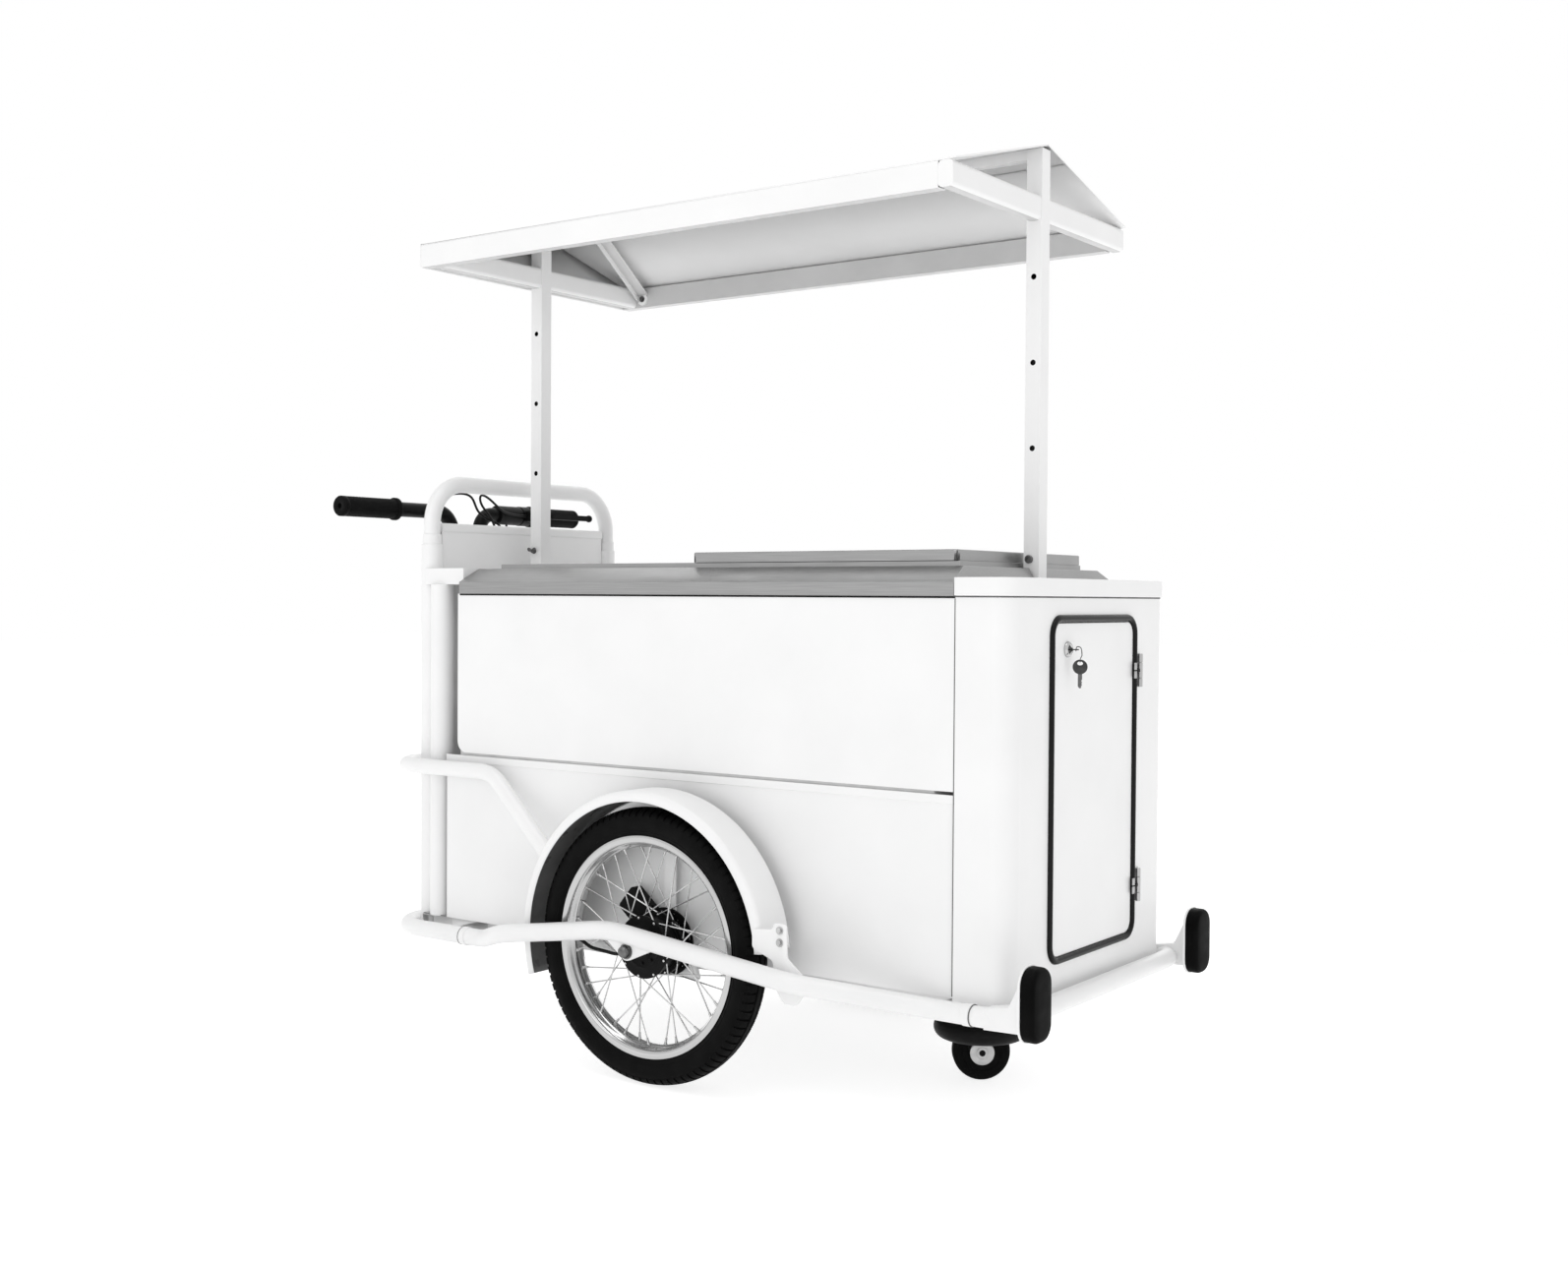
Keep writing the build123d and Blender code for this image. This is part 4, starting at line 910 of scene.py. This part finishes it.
# Wheel brackets: axle plates, fender stay, gusset and its bolts
INNER_PLATE = [(-70, 196), (70, 196), (38, 296), (-20, 306), (-92, 368), (-132, 332), (-62, 258)]
INNER_PLATE_Y = (-337, -329)
OUTER_PLATE = [(-90, 299), (90, 289), (66, 274)] + arc((0, AXLE_Z), 18, -66.5, -128.4, 10) + [(-48, 280)]
OUTER_PLATE_Y = (-469, -461)
GUSSET = [(276, 302), (276, 336), (322, 340), (324, 352), (352, 352), (354, 292), (392, 262), (392, 232),
          (374, 210), (346, 210), (328, 236), (322, 284)]
GUSSET_Y = (-444, -440)
STAY = ((-14, -341, 284), (14, -337, 556))
STAY_HEAD = ((-14, -350, 550), (14, -337, 556))
GUSSET_BLOCK = ((330, -460, 246), (384, -440, 264))
GUSSET_BOLTS = [(338, 340), (338, 318), (360, 250), (372, 240)]
SMALL_BOLT = (5.0, 4.6)
AXLE_TURNED = [(329, 0), (329, 8), (337, 8), (337, 11), (349, 11), (349.5, 10.5), (349.5, 8), (423.5, 8),
               (423.5, 10.5), (424, 11), (461, 11), (461, 8), (469, 8), (469, 15), (470.6, 15), (471, 14.6),
               (471, 12.6), (472.6, 12.6), (473, 12)]
AXLE_CAP = [(473, 0), (473, 10.6), (480.4, 10.6), (482, 9.6), (483.4, 7.4), (484.2, 6), (484.2, 0)]


def wheel_brackets():
    bm = bmesh.new()
    plate(bm, INNER_PLATE, INNER_PLATE_Y, 6)
    slab(bm, *STAY, 1.2)
    slab(bm, *STAY_HEAD, 1.2)
    plate(bm, OUTER_PLATE, OUTER_PLATE_Y, 0, 1.2)
    plate(bm, GUSSET, GUSSET_Y, 8, 1.4)
    slab(bm, *GUSSET_BLOCK, 2.0, 3)
    both_sides(bm)
    skin("wheel_brackets", bm, WHITE)
    bm = bmesh.new()
    for x, z in GUSSET_BOLTS:
        hex_bolt(bm, at(x, GUSSET_Y[0], z), RIGHT, *SMALL_BOLT)
    outward(bm)
    both_sides(bm)
    make("gusset_bolts", bm, "wheel_brackets", ZINC)


def axles():
    bm = bmesh.new()
    lathe(bm, AXLE_TURNED, at(0, 0, AXLE_Z), RIGHT, 32)
    lathe(bm, AXLE_CAP, at(0, 0, AXLE_Z), RIGHT, 24)
    outward(bm)
    both_sides(bm)
    skin("axles", bm, DARK_ZINC)


# Control cables, smooth loops between the hand controls and the mount
CABLE_R = 2.8
CABLE_Z = MOUNT_Z + 10
CABLES = {
    "brake_cable": ([(28, 184, 0), (28, 124, 0), (34, 88, 8), (40, 48, 34), (42, 6, 50), (56, -4, 14),
                     (74, 34, -20)], 50, -16),
    "switch_cable": ([(0, 140, -23), (0, 140, -50), (70, 60, -62)], 50, 4),
    "throttle_cable": ([(0, -74, 16.5), (0, -76, 36), (32, -56, 46), (44, -14, 42), (52, -14, 2),
                        (66, 14, -18), (84, 40, -26), (100, 22, -62)], 46, 22),
}


def cables():
    """Each loop is placed from the middle of the bar, and ends in a straight lead into the mount."""
    for name, (loop, lead, across) in CABLES.items():
        route = [(BAR_X + x, y, BAR_TOP + z) for x, y, z in loop]
        route += [(MOUNT_FACE - lead, across, CABLE_Z), (MOUNT_FACE, across, CABLE_Z)]
        curve = bpy.data.curves.new(name, "CURVE")
        curve.dimensions = "3D"
        curve.bevel_depth = CABLE_R * MM
        curve.bevel_resolution = 4
        curve.use_fill_caps = True
        spline = curve.splines.new("NURBS")
        spline.points.add(len(route) - 1)
        for point, place in zip(spline.points, route):
            point.co = (*at(*place), 1)
        spline.order_u = 4
        spline.use_endpoint_u = True
        spline.resolution_u = 12
        curve.materials.append(CABLE)
        cable = bpy.data.objects.new(name, curve)
        bpy.context.scene.collection.objects.link(cable)
        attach(cable, "cart")
        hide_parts("control_cables")


MOTOR_CABLE = [(-8, -446, 263), (-44, -446, 250), (-108, -448, 256), (-144, -454, 277)]
MOTOR_CABLE_BENDS = [40, 40]
MOTOR_CABLE_R = 3.4


def motor_cables():
    """A cable from each axle's spacer back to the underside of the rail."""
    bm = bmesh.new()
    bent(bm, MOTOR_CABLE, MOTOR_CABLE_BENDS, MOTOR_CABLE_R, 12, 6)
    outward(bm)
    both_sides(bm)
    make("motor_cables", bm, "axles", CABLE)


# Door front: rubber seal, hinges, lock and keys
DOOR_HALF = 166.0
DOOR_Z = (293.0, 890.0)
DOOR_CORNER = 24.0
SEAL_SECTION = [(0, 0)] + arc((7, 0.4), 6.6, 176, 4, 14) + [(14, 0)]


def seal():
    """A half-round bead run round the door opening."""
    bm = bmesh.new()
    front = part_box("door_seal")[0].x
    half = DOOR_HALF * MM
    low, high = (z * MM for z in DOOR_Z)
    mid = (low + high) / 2
    section = [Vector((front + proud * MM, half + across * MM, mid)) for across, proud in SEAL_SECTION]
    edges = drawn(bm, section, closed=True)[1]
    corners = [(half, mid), (half, high), (-half, high), (-half, low), (half, low), (half, mid)]
    along(bm, edges, [Vector((front, y, z)) for y, z in corners], [DOOR_CORNER * MM] * 4, 8)
    outward(bm)
    skin("door_seal", bm, SEAL, 60)


HINGE_Z = (381.0, 796.0)
HINGE_X = 737.0
HINGE_Y = 187.0
KNUCKLE = 5.0
KNUCKLE_EDGE = 0.8
LEAF_HALF = 32.0
LEAF_INNER = 15.4
LEAF = ((730, 184), (731.6, 201))
LEAF_WEB = ((730.6, 187), (737, 191.6))
LEAF_SCREW = (731.6, 196.6)
TAB_HALF = 15.0
TAB_INNER = 1.2
TAB = ((737.4, 159), (739.4, 168.4))
FOOT_HALF = 14.0
FOOT = ((731, 164), (737.5, 168.4))
HINGE_ARM_HALF = 3.0
HINGE_ARM = ((737.5, 168), (739.3, 184))


def barrel(bm, z0, z1):
    """One knuckle of a hinge, with softened ends."""
    slim = KNUCKLE - KNUCKLE_EDGE
    outline = [(z0, 0), (z0, slim), (z0 + KNUCKLE_EDGE, KNUCKLE), (z1 - KNUCKLE_EDGE, KNUCKLE), (z1, slim),
               (z1, 0)]
    lathe(bm, outline, at(HINGE_X, HINGE_Y, 0), UP, 20)


def upright_slab(bm, corners, z0, z1, edge):
    """A slab between two heights over two (X, Y) corners."""
    slab(bm, (*corners[0], z0), (*corners[1], z1), edge)


def hinges():
    """Three-knuckle hinges: fixed leaf with screws, door tab, dark arm over the bead."""
    leaf = bmesh.new()
    tab = bmesh.new()
    arm = bmesh.new()
    foot = bmesh.new()
    for z in HINGE_Z:
        upright_slab(leaf, LEAF, z - LEAF_HALF, z + LEAF_HALF, 0.5)
        for low, high in ((z - LEAF_HALF, z - LEAF_INNER), (z + LEAF_INNER, z + LEAF_HALF)):
            barrel(leaf, low, high)
            upright_slab(leaf, LEAF_WEB, low + 0.5, high - 0.5, 0.4)
            dome_bolt(leaf, at(*LEAF_SCREW, (low + high) / 2), FORWARD, 2.0, 1.8)
        barrel(tab, z - TAB_HALF, z + TAB_HALF)
        for low, high in ((z - TAB_HALF, z - TAB_INNER), (z + TAB_INNER, z + TAB_HALF)):
            upright_slab(tab, TAB, low, high, 0.4)
        upright_slab(foot, FOOT, z - FOOT_HALF, z + FOOT_HALF, 0.5)
        upright_slab(arm, HINGE_ARM, z - HINGE_ARM_HALF, z + HINGE_ARM_HALF, 0.4)
    for bm in (leaf, tab):
        outward(bm)
    skin("hinge_brackets", leaf, HINGE)
    skin("door_hinges", tab, HINGE)
    make("door_hinge_arms", arm, "door_hinges", BLACK_METAL)
    make("door_hinge_feet", foot, "door_hinges", BLACK_METAL)


LOCK = (731.0, -112.0, 842.0)
LOCK_RING = [(-22, 7.1), (-22, 10), (0, 10), (0, 14.6), (1.4, 14.6), (4.2, 13.2), (6.0, 10.8), (6.2, 9.6),
             (5.2, 8.4), (4.2, 7.1)]
LOCK_PLUG = [(-27, 0), (-27, 7), (2.4, 7), (3.2, 6.2), (4, 5.4), (4, 0)]
LOCK_CAM = ((-31, -8, -75), (-27, 8, 8))
KEY_SHANK = ((4, -4, -1.1), (12, 4, 1.1))
KEY_BOW = (15.0, 7.0)
KEY_EYE = (17.4, 2.2)
KEY_HALF = 1.0
WIRE = [(747.5, -111.6, 839), (748.6, -112.2, 847.5), (760.5, -116.6, 847.5), (762.4, -117.3, 832),
        (759.9, -119.6, 826), (759.4, -118.7, 820.4), (757.8, -115.9, 819.8)]
WIRE_BENDS = [4.0, 8.0, 8.0, 3.0, 1.5]
WIRE_R = 0.8
# The spare key hangs turned about a point above its bow
HANG = (758.6, -117.3, 832.3)
HANG_TURN = 30.0
SPARE_TOP = HANG[2] - 12.0
SPARE_BOW = (8.8, 13.2)
SPARE_EYE = (2.6, 3.4)
SPARE_EYE_STRETCH = 1.5
SPARE_HALF = 1.2
SPARE_BLADE = [(-3.8, -20), (-3.8, -43.5), (-1.2, -47), (1.2, -47), (2.4, -45), (2.4, -42.6), (3.8, -41),
               (2.6, -38.6), (3.8, -36.4), (2.2, -33.6), (3.8, -31), (3.8, -20)]


def from_lock(x, y, z):
    """A point in millimetres from the middle of the lock's face."""
    return (LOCK[0] + x, LOCK[1] + y, LOCK[2] + z)


def washer(bm, centre, radius, eye, eye_radius, axis, half, stretch=1.0):
    """A flat disc with an eye anywhere in it, sizes in millimetres."""
    axis = Vector(axis)
    loops = []
    for place, size, side, wide in ((centre, radius, -half, 1.0), (centre, radius, half, 1.0),
                                    (eye, eye_radius, half, stretch), (eye, eye_radius, -half, stretch)):
        spot = at(*place) + axis * side * MM
        edges = ring_at(bm, spot, axis, size * MM, 32)
        verts = list({vert for edge in edges for vert in edge.verts})
        bmesh.ops.scale(bm, vec=(wide, 1, 1), verts=verts, space=Matrix.Translation(-spot))
        loops.append(edges)
    for near, far in zip(loops, loops[1:] + loops[:1]):
        bmesh.ops.bridge_loops(bm, edges=near + far)


def lock():
    """Domed escutcheon round a dark plug, with the cam behind the door."""
    bm = bmesh.new()
    lathe(bm, LOCK_RING, at(*LOCK), FORWARD, 40, closed=True)
    outward(bm)
    skin("lock_body", bm, CHROME)
    bm = bmesh.new()
    lathe(bm, LOCK_PLUG, at(*LOCK), FORWARD, 40)
    slab(bm, from_lock(*LOCK_CAM[0]), from_lock(*LOCK_CAM[1]), 0.6)
    outward(bm)
    skin("lock_cylinder", bm, KEY)


def keys():
    """A key in the lock, a bent wire through its eye, and a spare that hangs from the wire."""
    bm = bmesh.new()
    slab(bm, from_lock(*KEY_SHANK[0]), from_lock(*KEY_SHANK[1]), 0.3)
    washer(bm, from_lock(KEY_BOW[0], 0, 0), KEY_BOW[1], from_lock(KEY_EYE[0], 0, 0), KEY_EYE[1], UP,
           KEY_HALF)
    bent(bm, WIRE, WIRE_BENDS, WIRE_R, 10, 6)
    outward(bm)
    skin("lock_key", bm, KEY)

    x, y = HANG[:2]
    bow = bmesh.new()
    washer(bow, (x, y, SPARE_TOP - SPARE_BOW[0]), SPARE_BOW[1], (x, y, SPARE_TOP - SPARE_EYE[0]),
           SPARE_EYE[1], LEFT, SPARE_HALF, SPARE_EYE_STRETCH)
    outward(bow)
    blade = bmesh.new()
    outline = [(x + across, SPARE_TOP + up) for across, up in SPARE_BLADE]
    plate(blade, outline, (y - KEY_HALF, y + KEY_HALF), 0, 0.5)
    turn = Matrix.Rotation(radians(HANG_TURN), 3, "Z")
    for bm in (bow, blade):
        bmesh.ops.rotate(bm, cent=at(*HANG), matrix=turn, verts=bm.verts)
    skin("spare_key", bow, KEY)
    make("spare_key_blade", blade, "spare_key", DARK_ZINC)


# Joints between the sheets, darkened as painted shade lines
PANEL_Y = 325
FRONT_X = 730
SEAM_X = 621.8
GASKET_Z = (932.6, 935.6)
TOP_GASKET = ((-598, -PANEL_Y - 1.4, GASKET_Z[0]), (SEAM_X, -324.4, GASKET_Z[1]))
CAP_SECTION = ((-0.6, -1.4), (0.8, -1.4), (0.8, 1.4), (-0.6, 1.4))
CAP_BEND = 40
SIDE_SEAM = ((SEAM_X - 1, -325.4, 240), (SEAM_X + 1, -321.6, 932))
RAIL_SEAM = [(0, 17.8), (0, 19.7), (1.1, 19.7), (1.1, 17.8)]
RAIL_SEAMS = ((679, -350, 220), (-558.1, -350, 210))


def joints_and_shade_lines():
    """A black gasket under the worktop and cap, and sealed joints between the sheets; both are dark strips
    that also paint the shadow line along each joint.
    """
    bm = bmesh.new()
    slab(bm, *TOP_GASKET, 0.3)
    both_sides(bm)
    make("top_gasket_and_shade_line", bm, "worktop", GASKET_AND_SHADE_LINE)
    bm = bmesh.new()
    high = GASKET_Z[1]
    edges = drawn(bm, [at(SEAM_X, -PANEL_Y - out, high + up) for out, up in CAP_SECTION], closed=True)[1]
    corners = ((SEAM_X, -PANEL_Y), (FRONT_X, -PANEL_Y), (FRONT_X, PANEL_Y), (SEAM_X, PANEL_Y))
    last = along(bm, edges, [at(x, y, high) for x, y in corners], [CAP_BEND * MM] * 2)
    cap_ends(bm, edges, last)
    outward(bm)
    make("cap_joint_and_shade_line", bm, "front_cap", SEALANT_AND_SHADE_LINE)
    bm = bmesh.new()
    slab(bm, *SIDE_SEAM, 0.3)
    for place in RAIL_SEAMS:
        lathe(bm, RAIL_SEAM, at(*place), FORWARD, 32, closed=True)
    outward(bm)
    both_sides(bm)
    make("joint_seams_and_shade_lines", bm, "front_fairing", SEALANT_AND_SHADE_LINE)


# Sheets of the body and what they hold: finish and softened edge in millimetres
FAIRING_LOW = 236.0
SKIRT = 9.0
BODY_PARTS = {
    "upper_panels": (WHITE, 0.7), "lower_panels": (WHITE, 0.7), "rear_cap": (WHITE, 0.8),
    "rear_panel": (WHITE, 0.8), "upstand_panel": (WHITE, 0.8), "worktop": (STEEL, 0.9),
    "front_lid": (STEEL, 0.0), "rear_lid": (STEEL, 0.6), "inner_liner": (LINER, 0.0),
    "insulation": (FOAM, 0.0), "chassis_frame": (WHITE, 0.0), "floor_panel": (FRAME_GREY, 0.0),
    "post_stubs": (BLACK_METAL, 0.0), "battery": (BATTERY, 1.0), "motor_controller": (BLACK_PLASTIC, 1.0),
    "brake_calipers": (BLACK_METAL, 1.5),
}


def fairing():
    """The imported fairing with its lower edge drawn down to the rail."""
    piece = dress("front_fairing", WHITE, 0.7)
    for vert in piece.data.vertices:
        if abs(vert.co.z - FAIRING_LOW * MM) < MM / 2:
            vert.co.z -= SKIRT * MM


def front():
    seal()
    fairing()
    dress("front_cap", WHITE, 1.6, 3)
    dress("door_panel", WHITE, 1.0)
    hinges()
    lock()
    keys()
    joints_and_shade_lines()


def body():
    for node, (material, edge) in BODY_PARTS.items():
        dress(node, material, edge)


# Canopy
POST_XS = (606.0, -674.0)
POST_INSIDE = 15.4
FOOT_BOLT = (602.0, -16.0, 1007.0)
SOCKET_HEAD = [(0, 0), (0, 7.8), (4, 7.8), (5, 6.8), (5, 4.4), (2, 4.2), (2, 0)]
WING_NUT = (-679.0, -16.0, 1036.0)
WING_BODY = [(0, 0), (0, 6.5), (1.4, 6.5), (1.6, 5.4), (8, 4.2), (9, 3), (9, 0)]
WING_PLACE = (7.4, -8.4, 3.2)
WING_SIZE = (6, 2.6, 4.6, 1)
WING_TILT = -24
CORNER_PLATE = (-638.0, 318.0, 1660.0)
CORNER_PLATE_T = 3.0
STAY_PLATE = [(-0.2, 0), (-0.2, 15), (2.4, 15), (CORNER_PLATE_T, 14.4), (CORNER_PLATE_T, 0)]


def in_post(face):
    """True inside the wall of a canopy post, where the bore is painted near black as its shade."""
    spot = face.calc_center_median()
    away = min(abs(spot.x - at(x, 0, 0).x) for x in POST_XS)
    return max(away, abs(spot.y)) < POST_INSIDE * MM


def in_fascia(face):
    """True on the inner side of a fascia along the roof, and on the underside of any beam, where grey is
    painted as shade.
    """
    across = face.calc_center_median().y
    inner = across * face.normal.y < -0.2 and abs(abs(across) - CORNER_PLATE[1] * MM) < MM
    return inner or face.normal.z < -0.9


def canopy_fasteners():
    """Socket bolt at the front foot, wing nut at the rear one, plates with bolts at the stays' ends."""
    bolts = bmesh.new()
    plates = bmesh.new()
    lathe(bolts, SOCKET_HEAD, at(*FOOT_BOLT), RIGHT, 28)
    nut = at(*WING_NUT)
    lathe(bolts, WING_BODY, nut, RIGHT, 20)
    x, y, z = CORNER_PLATE
    for hand in (-1, 1):
        spot = nut + Vector((hand * WING_PLACE[0], *WING_PLACE[1:])) * MM
        tilt = Matrix.Rotation(radians(hand * WING_TILT), 4, "Y")
        shape = Matrix.Translation(spot) @ tilt @ Matrix.Diagonal(WING_SIZE)
        bmesh.ops.create_uvsphere(bolts, u_segments=16, v_segments=10, radius=MM, matrix=shape)
        hex_bolt(bolts, at(x, hand * (y - CORNER_PLATE_T), z), (0, -hand, 0), *SMALL_BOLT)
        lathe(plates, STAY_PLATE, at(x, hand * y, z), (0, -hand, 0), 32)
    for bm in (bolts, plates):
        outward(bm)
    make("canopy_bolts", bolts, "canopy_posts", DARK_ZINC)
    make("stay_plates", plates, "roof_frame", WHITE)


def canopy():
    canopy_fasteners()
    dress("canopy_posts", WHITE, 1.6, 3, BORE_PAINTED_SHADE, in_post)
    dress("roof_frame", WHITE, 1.2, 2, FASCIA_PAINTED_SHADE, in_fascia)
    dress("roof_panels", ROOF, 0.6)


# Caster, stored with its axle turned towards the camera
CASTER_TURN = radians(36)
CASTER_AXIS = Vector((sin(CASTER_TURN), -cos(CASTER_TURN), 0))
CASTER_TYRE = mirrored(arc((8, 48), 8, 90, 0, 5) + [(16, 47), (16, 42), (15.4, 39), (14, 37), (14, 23)])
CASTER_HUB = mirrored([(13.8, 24), (13.6, 23), (11, 22.4), (10, 21), (10, 13), (11, 12), (17.4, 11),
                       (18, 10.4), (18, 6)])
CASTER_CAP = [(24.1, 6.1), (24.1, 23.5), (25.2, 23.5), (26.2, 22.4), (27, 18), (26.2, 13), (26.4, 11.6),
              (27.2, 10.8), (27.2, 6.1)]
GUARD_R = 72.0
GUARD_TUBE = 20.0
GUARD_SECTION = [(a, GUARD_R + r) for a, r in arc((0, 0), GUARD_TUBE, 0, 352.5, 47)]


def ring_mesh(outline, centre, axes, steps):
    """A mesh turned from a closed outline about each of some axes."""
    bm = bmesh.new()
    for axis in axes:
        lathe(bm, outline, centre, axis, steps, closed=True)
    outward(bm)
    return bm


def caster():
    dress("caster_plate", ZINC, 0.8)
    dress("caster_fork", BLACK_METAL, 0.8)
    hub_place = middle("caster_tyre")
    caps = ring_mesh(CASTER_CAP, hub_place, (CASTER_AXIS, -CASTER_AXIS), 48)
    make("caster_axle_caps", caps, "caster_fork", ZINC)
    skin("caster_guard", ring_mesh(GUARD_SECTION, middle("caster_guard"), [UP], 96), BLACK_PLASTIC)
    skin("caster_tyre", ring_mesh(CASTER_TYRE, hub_place, [CASTER_AXIS], 64), TYRE)
    skin("caster_hub", ring_mesh(CASTER_HUB, hub_place, [CASTER_AXIS], 64), DARK_ZINC)


camera()
studio()
wheels()
rails()
front_bar()
rear_frame()
push_bar()
bumpers()
fenders()
wheel_brackets()
axles()
cables()
motor_cables()
front()
body()
canopy()
caster()
